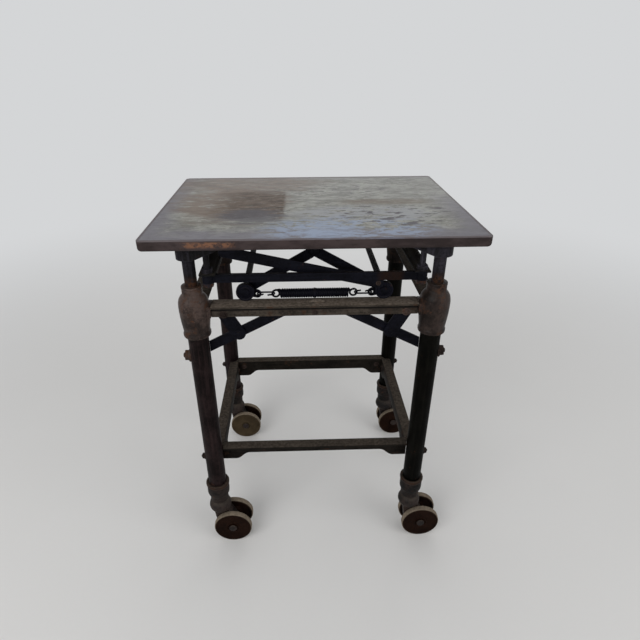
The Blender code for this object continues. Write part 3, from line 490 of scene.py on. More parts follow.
    side = 1 - f.step(f.z, top - 0.0026, top - 0.0008)
    rim = tone("rim")
    edge_colour = f.mix(f.step(drift, 0.38, 0.62), shade(rim, 0.70), shade(rim, 1.30))
    edge_colour = f.mix(f.step(grain, 0.52, 0.70) * 0.6, edge_colour, shade(rim, 0.42))
    rusted = f.noise(0.006, 7, 0.78, stretch=(1.8, 1, 1), shift=(0.2, 0.6, 0.9))
    place = (f.x + 0.194 + (rusted - 0.5) * 0.10) * (1 / 0.046)
    at_front = 1 - f.step(f.y, 0.002 - half_y, 0.006 - half_y)
    at_front = (1 - f.step(place * place, 0.5, 1.3)) * at_front
    band = f.step(f.z, bottom + 0.004, bottom + 0.010)
    band = band * (1 - f.step(f.z, top - 0.006, top - 0.002))
    rust = f.step(rusted, 0.45, 0.54) * (at_front * band).most(f.step(rusted, 0.64, 0.72) * 0.4)
    orange = f.mix(fine, tone("rust", 1.1), tone("bright_rust"))
    edge_colour = f.mix(rust, edge_colour, orange)
    f.lay(side, edge_colour)

    rough = 0.38 + grain * 0.16 + core * 0.10 - scuff * 0.08 + side * 0.12
    height = fine * 0.25 + grain * 0.45 + scratch * 0.3 + rust * 0.5 - spots * 0.3
    return f.done(rough, metallic=0.05, gloss=0.06, height=height, depth=0.0005, strength=0.35)


def wheel_iron(name, colour_name, spread):
    """Caster wheels: a stained face and a pale worn tread."""
    f = Finish(name)
    face_colour = tone(colour_name)
    grain = f.noise(0.005, 6, 0.65)
    cloud = f.noise(0.04, 5, 0.6)
    fine = f.noise(0.0015, 3, 0.6)
    face = f.mix(f.step(cloud, 0.35, 0.68), shade(face_colour, 0.72), shade(face_colour, spread))
    face = f.mix(f.step(grain, 0.52, 0.74) * 0.35, face, tone("rust", 0.32))
    face = f.mix(f.edges(0.0016) * f.step(grain, 0.40, 0.62) * 0.5, face, shade(face_colour, 3.2))
    worn = f.node("ShaderNodeAttribute", {"attribute_name": "worn"}, out="Fac")
    tread = f.mix(f.step(grain, 0.30, 0.70), tone("tread", 0.68), tone("tread"))
    tread = f.mix(f.step(cloud, 0.52, 0.75) * 0.6, tread, tone("tread", 0.45))
    f.colour = f.mix(worn * (0.55 + grain * 0.7), face, tread)
    rough = 0.42 + grain * 0.25 + worn * 0.15
    height = grain * 0.7 + fine * 0.3
    return f.done(rough, metallic=0.0, gloss=0.03, height=height, depth=0.0006, strength=0.5)


BLUE_BAR = dict(
    base=("blue", 0.5), bloom=("blue", 1.05), rust=0.35, dust=0.15, runs=0.3, way=ALONG
)
# What iron() is told for each look. A base or bloom is a set colour and its factor.
IRONS = {
    "pipe_left": dict(
        base=("violet", 0.16), bloom=("violet", 0.50), rust=0.35, runs=0.5, shine=0.34
    ),
    "pipe_right": dict(
        base=("olive", 0.07), bloom=("olive", 0.19), rust=0.3, runs=0.4, shine=0.36,
        shift=(0.4, 0.2, 0), gloss=0.03,
    ),
    "socket_left": dict(
        base=("brown", 0.28), bloom=("brown", 1.18), rust=1.0, dust=0.10, runs=0.06, shine=0.24,
        gloss=0.10, speckle=0.7,
    ),
    "socket_right": dict(
        base=("brown", 0.14), bloom=("brown", 0.62), rust=0.9, dust=0.20, runs=0.06, shine=0.24,
        shift=(0.7, 0, 0), gloss=0.10, speckle=0.7,
    ),
    "socket_back": dict(
        base=("brown", 0.08), bloom=("brown", 0.30), rust=0.7, dust=0.15, runs=0.25,
        shift=(0.2, 0.3, 0), speckle=0.6,
    ),
    "bracket_left": dict(base=("iron",), bloom=("slate",), runs=0.4, extra=rubbed_posts),
    "bracket_right": dict(
        base=("iron",), bloom=("slate", 1.7), runs=0.4, shift=(0.9, 0, 0), extra=rubbed_posts
    ),
    "ferrule": dict(
        base=("iron", 0.6), bloom=("brown", 0.36), rust=0.60, dust=0.45, extra=rusty_bead,
        gloss=0.10,
    ),
    "swivel": dict(base=("iron",), bloom=("brown", 0.55), rust=0.45, dust=0.85, gloss=0.12),
    # The upper rail's dust is brightened far past its own colour, so its top is partly dust and
    # partly painted light.
    "upper_rail": dict(
        base=("dust", 0.45), bloom=("dust", 0.95), rust=0.6, dust=0.9, runs=0.45, way=ALONG,
        shine=0.5, extra=rail_shadow_and_rust, dust_and_light_gain=2.9,
    ),
    "lower_rail": dict(
        base=("dust", 0.10), bloom=("dust", 0.22), rust=0.6, dust=0.9, runs=0.35, way=ALONG,
        shine=0.5, shift=(0.2, 0.5, 0), dust_and_light_gain=1.2,
    ),
    "side_flat": dict(
        base=("blue", 0.8), bloom=("olive", 0.55), rust=0.35, dust=0.35, runs=0.3, way=ALONG
    ),
    "bar": BLUE_BAR,
    "cross_bar": dict(BLUE_BAR, rust=0.30, extra=red_stretch),
    "roller": dict(base=("blue", 0.7), bloom=("blue", 1.6), rust=0.25, dust=0.35),
    "wire": dict(base=("blue", 0.5), bloom=("blue",), rust=0.15, shine=0.34),
    "bolt": dict(base=("brown", 0.42), bloom=("brown", 1.05), rust=1.0, dust=0.15),
    "dull_bolt": dict(base=("brown", 0.20), bloom=("brown", 0.55), rust=0.75, dust=0.15),
}
# Face colour of the wheels and how much lighter its clouds get
WHEELS = {"wheel_brown": ("wheel", 1.5), "wheel_tan": ("tan", 1.25)}
FINISHES = {}


def finish(look):
    """Each finish is made once, when a piece first asks for it."""
    if look not in FINISHES:
        if look in IRONS:
            FINISHES[look] = iron(look, **IRONS[look])
        elif look in WHEELS:
            FINISHES[look] = wheel_iron(look, *WHEELS[look])
        else:
            FINISHES[look] = top_steel(look)
    return FINISHES[look]


# Modelling


def deselect():
    if bpy.context.mode != "OBJECT":
        bpy.ops.object.mode_set(mode="OBJECT")
    bpy.ops.object.select_all(action="DESELECT")


def pick(piece):
    """Make a piece the only selected one, in object mode."""
    deselect()
    piece.select_set(True)
    bpy.context.view_layer.objects.active = piece
    return piece


def drop(*pieces):
    for piece in pieces:
        bpy.data.objects.remove(piece)


def edit():
    """Go to edit mode with every point selected."""
    bpy.ops.object.mode_set(mode="EDIT")
    bpy.ops.mesh.select_mode(type="VERT")
    bpy.ops.mesh.select_all(action="SELECT")


def merge(distance=MERGE):
    """In edit mode, make one point of those that meet."""
    bpy.ops.mesh.select_all(action="SELECT")
    bpy.ops.mesh.remove_doubles(threshold=distance)


def close():
    """Turn all faces outward and leave edit mode."""
    bpy.ops.mesh.select_all(action="SELECT")
    bpy.ops.mesh.normals_make_consistent(inside=False)
    bpy.ops.object.mode_set(mode="OBJECT")


def named(name):
    """The piece that was just added, with its place and scale moved into its mesh."""
    piece = bpy.context.active_object
    piece.name = name
    piece.data.name = name
    bpy.ops.object.transform_apply(location=True, rotation=True, scale=True)
    return piece


def modify(piece, kind, **settings):
    """Add a modifier and apply it."""
    pick(piece)
    modifier = piece.modifiers.new(kind, kind)
    for key, value in settings.items():
        setattr(modifier, key, value)
    bpy.ops.object.modifier_apply(modifier=modifier.name)
    return piece


def soften(piece, width, segments=2):
    """Round the sharp edges of a piece."""
    limit = {"limit_method": "ANGLE", "angle_limit": BEVEL_ANGLE}
    return modify(piece, "BEVEL", width=width, segments=segments, **limit)


def weld(piece, tool, operation="UNION"):
    """Join a piece with another, or cut it with one, drop the other and clear slivers."""
    modify(piece, "BOOLEAN", object=tool, operation=operation, solver="EXACT")
    drop(tool)
    pick(piece)
    edit()
    merge()
    bpy.ops.mesh.dissolve_degenerate(threshold=MERGE)
    bpy.ops.object.mode_set(mode="OBJECT")
    return piece


def choose_edges(piece, test):
    """Select, in edit mode, the edges whose two ends pass the test."""
    pick(piece)
    bpy.ops.object.mode_set(mode="EDIT")
    bpy.ops.mesh.select_mode(type="EDGE")
    bpy.ops.mesh.select_all(action="DESELECT")
    bpy.ops.object.mode_set(mode="OBJECT")
    points = piece.data.vertices
    for edge in piece.data.edges:
        first, second = (points[index].co for index in edge.vertices)
        edge.select = test(first, second)
    bpy.ops.object.mode_set(mode="EDIT")


def block(name, start, end):
    """A block between two corners."""
    start, end = Vector(start), Vector(end)
    deselect()
    size = [abs(length) for length in end - start]
    bpy.ops.mesh.primitive_cube_add(size=1, location=(start + end) / 2, scale=size)
    return named(name)


def rod(name, radius, start, end, sides):
    """A round or many-sided bar between two points."""
    start, end = Vector(start), Vector(end)
    turn = (end - start).to_track_quat("Z", "Y").to_euler()
    deselect()
    length, centre = (end - start).length, (start + end) / 2
    bpy.ops.mesh.primitive_cylinder_add(
        vertices=sides, radius=radius, depth=length, location=centre, rotation=turn
    )
    return named(name)


def turned(name, profile, axis=Z, centre=(0, 0, 0), closed=False):
    """A profile of (radius, height), extruded point by point and spun about an axis."""
    centre = Vector(centre)
    out = Z if axis.x else X
    points = [centre + out * radius + axis * height for radius, height in profile]
    if closed:
        points.append(points[0])
    deselect()
    bpy.ops.mesh.primitive_plane_add(size=SEED, location=points[0])
    piece = named(name)
    edit()
    bpy.ops.mesh.merge(type="CENTER")
    for first, second in zip(points, points[1:]):
        bpy.ops.mesh.extrude_region_move(TRANSFORM_OT_translate={"value": second - first})
    merge()
    bpy.ops.mesh.spin(steps=sizes().round_sides, angle=2 * math.pi, center=centre, axis=axis)
    merge()
    close()
    return piece


def tube(name, points, radius):
    """A round wire along a line of points, made a mesh with closed ends."""
    deselect()
    bpy.ops.curve.primitive_nurbs_path_add()
    wire = bpy.context.active_object
    wire.name = name
    wire.data.splines.clear()
    spline = wire.data.splines.new("POLY")
    spline.points.add(len(points) - 1)
    for point, place in zip(spline.points, points):
        point.co = (*place, 1)
    wire.data.bevel_depth = radius
    wire.data.bevel_resolution = sizes().wire_sides // 2 - 2
    wire.data.use_fill_caps = True
    bpy.ops.object.convert(target="MESH")
    piece = named(name)
    edit()
    merge(WIRE_MERGE)
    close()
    return piece


def gather(piece, *others):
    """Put several pieces into one object."""
    pick(piece)
    for other in others:
        other.select_set(True)
    bpy.ops.object.join()
    return piece


def worked_copy(node, width):
    """A copy of a node with its faces merged and its edges softened."""
    piece = bpy.data.objects.new(f"{node}_worked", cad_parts[node].data.copy())
    bpy.context.scene.collection.objects.link(piece)
    pick(piece)
    bpy.ops.mesh.customdata_custom_splitnormals_clear()
    edit()
    merge()
    bpy.ops.mesh.dissolve_limited(angle_limit=FLAT_ANGLE)
    bpy.ops.object.mode_set(mode="OBJECT")
    return soften(piece, width)


def copy_of(piece, name, move=Matrix.Identity(4)):
    """A copy with its own mesh, moved or mirrored."""
    twin = bpy.data.objects.new(name, piece.data.copy())
    bpy.context.scene.collection.objects.link(twin)
    twin.data.transform(move)
    if move.determinant() < 0:
        twin.data.flip_normals()
    return twin


def paint(piece, look):
    """Shade a piece by its edges and give it a finish."""
    pick(piece)
    bpy.ops.object.shade_smooth_by_angle(angle=SMOOTH_ANGLE)
    piece.data.materials.clear()
    piece.data.materials.append(finish(look))
    return piece


def settle(piece, body, look, *nodes):
    """Finish a piece, let it ride on its body and stand for its nodes."""
    paint(piece, look)
    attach(piece, body)
    if nodes:
        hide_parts(*nodes)
    return piece


def dress(nodes, body, look):
    """Stand a softened copy in for each node."""
    for node in nodes:
        settle(worked_copy(node, sizes().soft_edge), body, look, node)


def axis_of(corner):
    """The place of a corner's leg on the floor."""
    centre = middle(f"leg_{corner}")
    return Vector((centre.x, centre.y, 0))


def facing(direction):
    """A turn that takes +Z to a direction."""
    return Vector(direction).to_track_quat("Z", "Y").to_matrix().to_4x4()


def handed(corner):
    return "left" if "left" in corner else "right"


# Pieces


class TURTLE_OT_lay_top(bpy.types.Operator):
    """Make the steel top with its round corners and edges"""

    bl_idname = "turtle.lay_top"
    bl_label = "Top"

    def execute(self, context):
        bottom, top = low("top_plate"), high("top_plate")
        plate = block("steel_top", bottom, top)
        choose_edges(plate, lambda a, b: abs(a.z - b.z) > LEVEL)
        bpy.ops.mesh.bevel(offset=sizes().top_corner, segments=8, affect="EDGES")
        for level, width, segments in (
            (bottom.z, sizes().top_lower_round, 4),
            (top.z, sizes().top_upper_round, 2),
        ):
            choose_edges(plate, lambda a, b: max(abs(a.z - level), abs(b.z - level)) < LEVEL)
            bpy.ops.mesh.bevel(offset=width, segments=segments, affect="EDGES")
        bpy.ops.object.mode_set(mode="OBJECT")
        settle(plate, "top", "top_steel", "top_plate")
        return {"FINISHED"}


class TURTLE_OT_dress_rails(bpy.types.Operator):
    """Soften and dust the upper and lower rails"""

    bl_idname = "turtle.dress_rails"
    bl_label = "Rails"

    def execute(self, context):
        for side in AROUND:
            dress([f"upper_rail_{side}"], "frame", "upper_rail" if side in ENDS else "lower_rail")
            dress([f"lower_rail_{side}"], "frame", "lower_rail")
        return {"FINISHED"}


class TURTLE_OT_dress_bars(bpy.types.Operator):
    """Soften the braces, straps, hung bars, stay, lugs and struts"""

    bl_idname = "turtle.dress_bars"
    bl_label = "Bars and struts"

    def execute(self, context):
        for kind in ("front_brace", "brace_strap"):
            dress([f"{kind}_{side}" for side in SIDES], "frame", "bar")
        dress([f"cross_bar_{end}" for end in ENDS], "top", "cross_bar")
        dress(["diagonal_stay"] + [f"apex_lug_{end}" for end in ENDS], "top", "bar")
        dress([f"side_flat_{side}" for side in SIDES], "top", "side_flat")
        for side in SIDES:
            dress([f"strut_{end}_{side}" for end in ENDS], f"{side}_struts", "bar")
        return {"FINISHED"}


# (in from the widest radius, down from the top) and (in, up from the bottom)
FERRULE_OUTSIDE = (
    (0.0052, 0.0003), (0.0030, 0), (0.0012, 0.0009), (0.0002, 0.0028), (0, 0.0052),
    (0.0004, 0.0080), (0.0016, 0.0096), (0.0025, 0.0105), (0.0019, 0.0120), (0.0015, 0.0290),
    (0.0019, 0.0365), (0.0034, 0.0400), (0.0053, 0.0418), (0.0060, 0.0440), (0.0064, 0.0520),
)
FERRULE_FOOT = ((0.0062, 0.0012), (0.0072, 0))
FERRULE_SEAT, FERRULE_LIP = 0.0220, 0.0010  # down from the top
# (radius, down from the top) and (radius, up from the bottom)
SOCKET_OUTSIDE = (
    (0, 0), (0.0196, 0), (0.0207, 0.0005), (0.0212, 0.0018), (0.0212, 0.0052), (0.0205, 0.0064),
    (0.0208, 0.0080), (0.0210, 0.0170), (0.0219, 0.0190), (0.0258, 0.0232), (0.0292, 0.0290),
    (0.0310, 0.0360), (0.03172, 0.0440), (0.0317, 0.0540), (0.0310, 0.0680), (0.0298, 0.0820),
    (0.0283, 0.0940), (0.0274, 0.1030), (0.0281, 0.1046), (0.0290, 0.1066), (0.0290, 0.1110),
)
SOCKET_FOOT = ((0.0282, 0.0006), (0.0270, 0), (0, 0))
PAD_ROUND = 0.0016
CUT_PAST = 0.02  # how far a boring tool stands out of the socket


class TURTLE_OT_raise_legs(bpy.types.Operator):
    """Turn the pipe legs, their cast sockets and the caster ferrules"""

    bl_idname = "turtle.raise_legs"
    bl_label = "Legs, sockets and ferrules"

    def execute(self, context):
        pipe, collar, cup = self.pipe(), self.collar(), self.cup()
        for corner, (sx, sy) in CORNERS.items():
            place = Matrix.Translation(axis_of(corner))
            hand = handed(corner)
            leg = copy_of(pipe, f"pipe_leg_{corner}", place)
            settle(leg, "frame", f"pipe_{hand}", f"leg_{corner}")
            ring = copy_of(collar, f"ferrule_ring_{corner}", place)
            settle(ring, "frame", "ferrule", f"caster_ferrule_{corner}")
            mirror = Matrix.Diagonal((-sx, -sy, 1, 1))
            look = "socket_back" if sy > 0 else f"socket_{hand}"
            socket = copy_of(cup, f"cast_socket_{corner}", mirror)
            settle(socket, "frame", look, f"socket_{corner}")
        drop(pipe, collar, cup)
        return {"FINISHED"}

    def pipe(self):
        node = "leg_front_left"
        bottom, top, radius = low(node).z, high(node).z, span(node).x / 2
        edge, wall = sizes().soft_edge, sizes().pipe_wall
        upper = [(radius - wall, top), (radius - edge, top), (radius, top - edge)]
        lower = [(radius, bottom + edge), (radius - edge, bottom), (radius - wall, bottom)]
        return turned("pipe", upper + lower, closed=True)

    def collar(self):
        """A ring with a round bead on top, a band, a step and a neck for the caster's stem."""
        node = "caster_ferrule_front_left"
        bottom, top, wide = low(node).z, high(node).z, span(node).x / 2
        bore, stem = span("leg_front_left").x / 2 + CLEARANCE, sizes().stem_radius
        seat = top - FERRULE_SEAT
        outside = [(wide - inset, top - down) for inset, down in FERRULE_OUTSIDE]
        foot = [(wide - inset, bottom + up) for inset, up in FERRULE_FOOT]
        inside = [(stem, bottom), (stem, seat), (bore, seat), (bore, top - FERRULE_LIP)]
        return turned("collar", outside + foot + inside, closed=True)

    def cup(self):
        """The front left socket: a turned cup with rail pads, bored for post and leg."""
        node, leg, rail = "socket_front_left", "leg_front_left", "upper_rail_front"
        bottom, top = low(node).z, high(node).z
        here = axis_of("front_left")
        outside = [(radius, top - down) for radius, down in SOCKET_OUTSIDE]
        foot = [(radius, bottom + up) for radius, up in SOCKET_FOOT]
        body = turned("cup", outside + foot)
        body.data.transform(Matrix.Translation(here))
        level, under = high(rail).z, low(rail).z
        ahead, behind = low(rail).y, high(rail).y
        reach = low(rail).x - CLEARANCE
        away, inward = here.y - ahead, behind - here.y
        side_end = here.y + (reach - here.x)
        pads = (
            ((here.x, ahead, under), (reach, behind, level)),
            ((here.x - away, here.y, under), (here.x + inward, side_end, level)),
        )
        for number, (start, end) in enumerate(pads):
            weld(body, soften(block(f"pad_{number}", start, end), PAD_ROUND, 3))
        seat = here + Z * (high(leg).z + CLEARANCE)
        leg_bore = span(leg).x / 2 + CLEARANCE
        post_bore = sizes().post_radius + POST_CLEARANCE
        down, up = here + Z * (bottom - CUT_PAST), here + Z * (top + CUT_PAST)
        sides = sizes().round_sides
        weld(body, rod("seat", leg_bore, down, seat, sides), "DIFFERENCE")
        weld(body, rod("bore", post_bore, down, up, sides), "DIFFERENCE")
        return body


POST_START, POST_BEVEL = 0.004, 0.0018  # under the bracket's top, at the post's foot


class TURTLE_OT_hang_brackets(bpy.types.Operator):
    """Work the cast brackets with their round guide posts and hanger studs"""

    bl_idname = "turtle.hang_brackets"
    bl_label = "Brackets and posts"

    def execute(self, context):
        for corner in CORNERS:
            node = f"corner_bracket_{corner}"
            arm = worked_copy(node, sizes().soft_edge)
            here = axis_of(corner)
            bottom, top = low(node).z, high(node).z
            radius, start = sizes().post_radius, top - POST_START
            thick, end = radius + POST_SKIN, bottom + SKIN
            profile = [(0, start), (thick, start), (thick, bottom + POST_BEVEL)]
            profile += [(radius - POST_BEVEL, end), (0, end)]
            weld(arm, turned("post", profile, centre=here))
            settle(arm, "top", f"bracket_{handed(corner)}", node)
        return {"FINISHED"}


# (radius, in from the face) and (in from the rim, in from the face)
ROLLER_BORE_DEPTH = 0.0006
ROLLER_HUB = (
    (0.0098, 0.0002), (0.0112, 0.0006), (0.0120, 0.0018), (0.0148, 0.0018), (0.0156, 0.0005)
)
ROLLER_RIM = ((0.0012, 0), (0.0003, 0.0006), (0, 0.0016))
AXLE_EDGE = 0.0006
AXLE_END = 0.0015  # the turned shaft ends this far inside the axle's heads


class TURTLE_OT_set_rollers(bpy.types.Operator):
    """Turn the rollers and work their axles"""

    bl_idname = "turtle.set_rollers"
    bl_label = "Rollers and axles"

    def execute(self, context):
        node = "roller_front_left"
        radius, half = span(node).x / 2, span(node).y / 2
        bore = sizes().axle_radius + CLEARANCE
        face = [(bore, half - ROLLER_BORE_DEPTH)]
        face += [(distance, half - depth) for distance, depth in ROLLER_HUB]
        face += [(radius - inset, half - depth) for inset, depth in ROLLER_RIM]
        back = [(distance, -height) for distance, height in face[::-1]]
        master = turned("roller", face + back, Y, closed=True)
        for side in SIDES:
            for end in ENDS:
                name = f"roller_{end}_{side}"
                place = Matrix.Translation(middle(name))
                settle(copy_of(master, f"turned_{name}", place), name, "roller", name)
            axle = f"roller_axle_{side}"
            shaft = worked_copy(axle, AXLE_EDGE)
            centre = middle(f"roller_front_{side}")
            thick, inside = sizes().axle_radius + SKIN, span(axle).y / 2 - AXLE_END
            profile = [(0, inside), (thick, inside), (thick, -inside), (0, -inside)]
            pin = turned("pin", profile, Y, (centre.x, 0, centre.z))
            settle(weld(shaft, pin), f"{side}_foot", "bar", axle)
        drop(master)
        return {"FINISHED"}


COIL_STEPS, RING_STEPS, HOOK_STEP = 26, 40, 20  # a turn's facets, a ring's, degrees in a hook
COIL_PITCH, RING_WIRE, RING_INSET = 2.04, 0.86, 1.1  # in radii of the coil's wire
RING_START, RING_TURN = 0.5, 2.06  # in half turns
# Radius of the hook's wire, of its bends, and its end's distance from the spring's end
HOOK_WIRE, HOOK_BEND, HOOK_EDGE = 0.0018, 0.0064, 0.0024
HOOK_TIP = ((0.0055, 0.0004), (0.0085, 0.0022))  # (along the spring, out from the bend)
# (out from the coil, along it)
BAND = (
    (-0.0010, -0.0024), (0.0002, -0.0024), (0.0005, -0.0018),
    (0.0005, 0.0018), (0.0002, 0.0024), (-0.0010, 0.0024),
)


class TURTLE_OT_wind_springs(bpy.types.Operator):
    """Wind the two close-coiled springs with their end rings, hooks and middle bands"""

    bl_idname = "turtle.wind_springs"
    bl_label = "Springs"

    def execute(self, context):
        half = self.half()
        for end in ENDS:
            node = f"lift_spring_{end}"
            centre = middle(node)
            place = Matrix.Translation(centre)
            for side, sign in SIDES.items():
                turn = Matrix.Rotation(0 if sign > 0 else math.pi, 4, "Z")
                wound = copy_of(half, f"wound_{node}_{side}", place @ turn)
                paint(wound, "wire")
                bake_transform(wound)
                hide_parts(node)
            profile = [(sizes().spring_radius + out, along) for out, along in BAND]
            band = turned(f"band_{node}", profile, X, centre, closed=True)
            settle(band, "frame", "bar")
        drop(half)
        return {"FINISHED"}

    def half(self):
        """The right half, wound about X from the middle: coil, end ring and open hook."""
        wire, outer, length = sizes().spring_wire / 2, sizes().spring_radius, sizes().coil_half
        turns = int(length / (COIL_PITCH * wire))
        deselect()
        bpy.ops.mesh.primitive_circle_add(
            vertices=sizes().wire_sides,
            radius=wire,
            location=(0, 0, outer - wire),
            rotation=(math.pi / 2, 0, 0),
        )
        coil = modify(
            named("coil"),
            "SCREW",
            axis="X",
            steps=COIL_STEPS,
            render_steps=COIL_STEPS,
            iterations=turns,
            screw_offset=(length - 2 * wire) / turns,
        )
        edit()
        merge(WIRE_MERGE)
        bpy.ops.mesh.fill_holes(sides=0)
        close()
        return gather(coil, *self.end(wire, outer, length - wire))

    def end(self, wire, outer, start):
        """The ring that closes the coil and the hook that holds it."""
        thin = wire * RING_WIRE
        radius = outer - wire * RING_INSET
        ring = [
            (start - wire, -outer + 2 * wire, radius * 0.55),
            (start, -radius * 0.55, radius * 0.92),
        ]
        for number in range(RING_STEPS + 1):
            a = math.pi * (RING_START + RING_TURN * number / RING_STEPS)
            along = start + radius - radius * math.cos(a)
            ring.append((along, 0.4 * thin * math.sin(a / 2), radius * math.sin(a)))
        loop = tube("ring", ring, thin)
        node, bend = "lift_spring_front", HOOK_BEND
        eye = high(node).x - middle(node).x - HOOK_EDGE
        grip = start + 2 * radius + thin * 0.3
        far = [math.radians(a) for a in range(150, -91, -HOOK_STEP)]
        near = [math.radians(a) for a in range(-90, -271, -HOOK_STEP)]
        path = [(eye - bend + bend * math.cos(a), bend * math.sin(a), 0) for a in far]
        path += [(grip + bend * 0.8 * math.cos(a), bend * math.sin(a), 0) for a in near]
        path += [(grip + along, bend + out, 0) for along, out in HOOK_TIP]
        return loop, tube("hook", path, HOOK_WIRE)


# (radius, in from the outer face) and (in from the tread, in from the outer face)
WHEEL_HUB_DEPTH = 0.0024  # of the hub's flat round the pin
WHEEL_HUB = (
    (0.0128, 0.0024), (0.0138, 0.0019), (0.0146, 0.0007), (0.0158, 0.0002), (0.0171, 0.0006),
    (0.0182, 0.0013), (0.0300, 0.0010),
)
WHEEL_RIM = (
    (0.0078, 0.0007), (0.0071, 0.0012), (0.0063, 0.0008), (0.0054, 0.0001), (0.0026, 0),
    (0.0011, 0.0006), (0.0003, 0.0018), (0, 0.0040),
)
# (in from the tread, in from the inner face), then the hollow and the hub behind it
WHEEL_BACK = ((0, 0.0024), (0.0008, 0.0008), (0.0022, 0), (0.0052, 0), (0.0064, 0.0028))
HOLLOW_EDGE, HOLLOW_DEPTH, HUB_FOOT = 0.0090, 0.0070, 0.0205
HUB_BACK = ((0.0182, 0.0040), (0.0170, 0))
WORN_DEPTH, WORN_FADE = 0.0024, 0.0016  # how far the tread's wear comes down the sides
# (radius, in from the pin's end)
PIN_HEAD = (
    (0, 0), (0.0040, 0.0001), (0.0068, 0.0005), (0.0090, 0.0013), (0.0099, 0.0020),
    (0.0099, 0.00246),
)
PIN_HEAD_DEPTH = 0.00248
SWIVEL_EDGE, BALL_STEPS = 0.0014, 24


class TURTLE_OT_fit_casters(bpy.types.Operator):
    """Turn the twin wheels and work the ball-headed swivels"""

    bl_idname = "turtle.fit_casters"
    bl_label = "Casters"

    def execute(self, context):
        master = self.disc()
        for corner in CORNERS:
            self.swivel(corner)
            for end, sign in ENDS.items():
                node = f"wheel_{corner}_{end}"
                place = Matrix.Translation(middle(node)) @ Matrix.Diagonal((1, sign, 1, 1))
                look = "wheel_tan" if corner == "back_left" and end == "front" else "wheel_brown"
                settle(copy_of(master, f"turned_{node}", place), node, look, node)
        drop(master)
        return {"FINISHED"}

    def disc(self):
        """A wheel about Y: hub ring, plain face and rim bead outside, hollow inside."""
        node = "wheel_front_left_front"
        radius, half = span(node).z / 2, span(node).y / 2
        bore = sizes().wheel_pin + CLEARANCE
        face = [(bore, half - WHEEL_HUB_DEPTH)]
        face += [(distance, half - depth) for distance, depth in WHEEL_HUB]
        face += [(radius - inset, half - depth) for inset, depth in WHEEL_RIM]
        back = [(radius - inset, depth - half) for inset, depth in WHEEL_BACK]
        back += [(radius - HOLLOW_EDGE, half - HOLLOW_DEPTH), (HUB_FOOT, half - HOLLOW_DEPTH)]
        back += [(distance, depth - half) for distance, depth in HUB_BACK]
        disc = turned("disc", face + back + [(bore, -half)], Y, closed=True)
        worn = disc.data.attributes.new("worn", "FLOAT", "POINT")
        for point, value in zip(disc.data.vertices, worn.data):
            away = math.hypot(point.co.x, point.co.z)
            value.value = min(1, max(0, (away - radius + WORN_DEPTH) / WORN_FADE))
        return disc

    def swivel(self, corner):
        node = f"caster_swivel_{corner}"
        body = worked_copy(node, SWIVEL_EDGE)
        here = axis_of(corner)
        wide, tall, flat = sizes().ball_radius, sizes().ball_half_height, sizes().ball_top
        level = low(f"caster_ferrule_{corner}").z - CLEARANCE - flat
        first = math.acos(flat / tall)
        skin = [(0, level + flat)]
        for number in range(BALL_STEPS):
            a = first + (math.pi - first) * number / BALL_STEPS
            skin.append(((wide + SKIN) * math.sin(a), level + tall * math.cos(a)))
        weld(body, turned("ball", skin + [(0, level - tall)], centre=here))
        hub = middle(f"wheel_{corner}_front")
        reach = span(node).y / 2
        head = [(radius, reach - depth) for radius, depth in PIN_HEAD]
        head += [(sizes().wheel_pin, reach - PIN_HEAD_DEPTH)]
        tail = [(radius, -height) for radius, height in head[::-1]]
        pin = turned("pin", head + tail, Y, (hub.x, here.y, hub.z))
        settle(weld(body, pin), f"swivel_{corner}", "swivel", node)


BRACE_NUT_DROP, LOWER_NUT_DROP = 0.0046, 0.0225  # under a brace, under a lower rail's top
MIDDLE_BOLT_DROP, LOWER_BOLT_DROP, LOWER_BOLT_INSET = 0.0130, 0.0190, 0.024
LUMP_PLACE, LUMP_DEPTH = (0.002, 0.002), 0.40  # from the rail's middle, share of its length
# (radius, height over the seat)
WASHER = ((0, -0.0030), (0.0112, -0.0030), (0.0115, 0.0006), (0.0108, 0.0012), (0, 0.0012))
NUT_RADIUS, NUT_FOOT, NUT_TOP, NUT_EDGE = 0.0098, 0.0010, 0.0080, 0.0010
BOLT_END = ((0, 0.0110), (0.0032, 0.0110), (0.0042, 0.0102), (0.0042, 0.0060), (0, 0.0060))
BOLT_HEAD = (
    (0, 0.0046), (0.0026, 0.0043), (0.0046, 0.0034), (0.0058, 0.0020), (0.0061, 0.0010),
    (0.0084, 0.0009), (0.0087, 0.0004), (0.0086, -0.0004), (0, -0.0004),
)
LUMP = (
    (0, 0.0046), (0.006, 0.0042), (0.012, 0.0034), (0.018, 0.0022), (0.0205, 0.0010),
    (0.0208, -0.0003), (0, -0.0003),
)


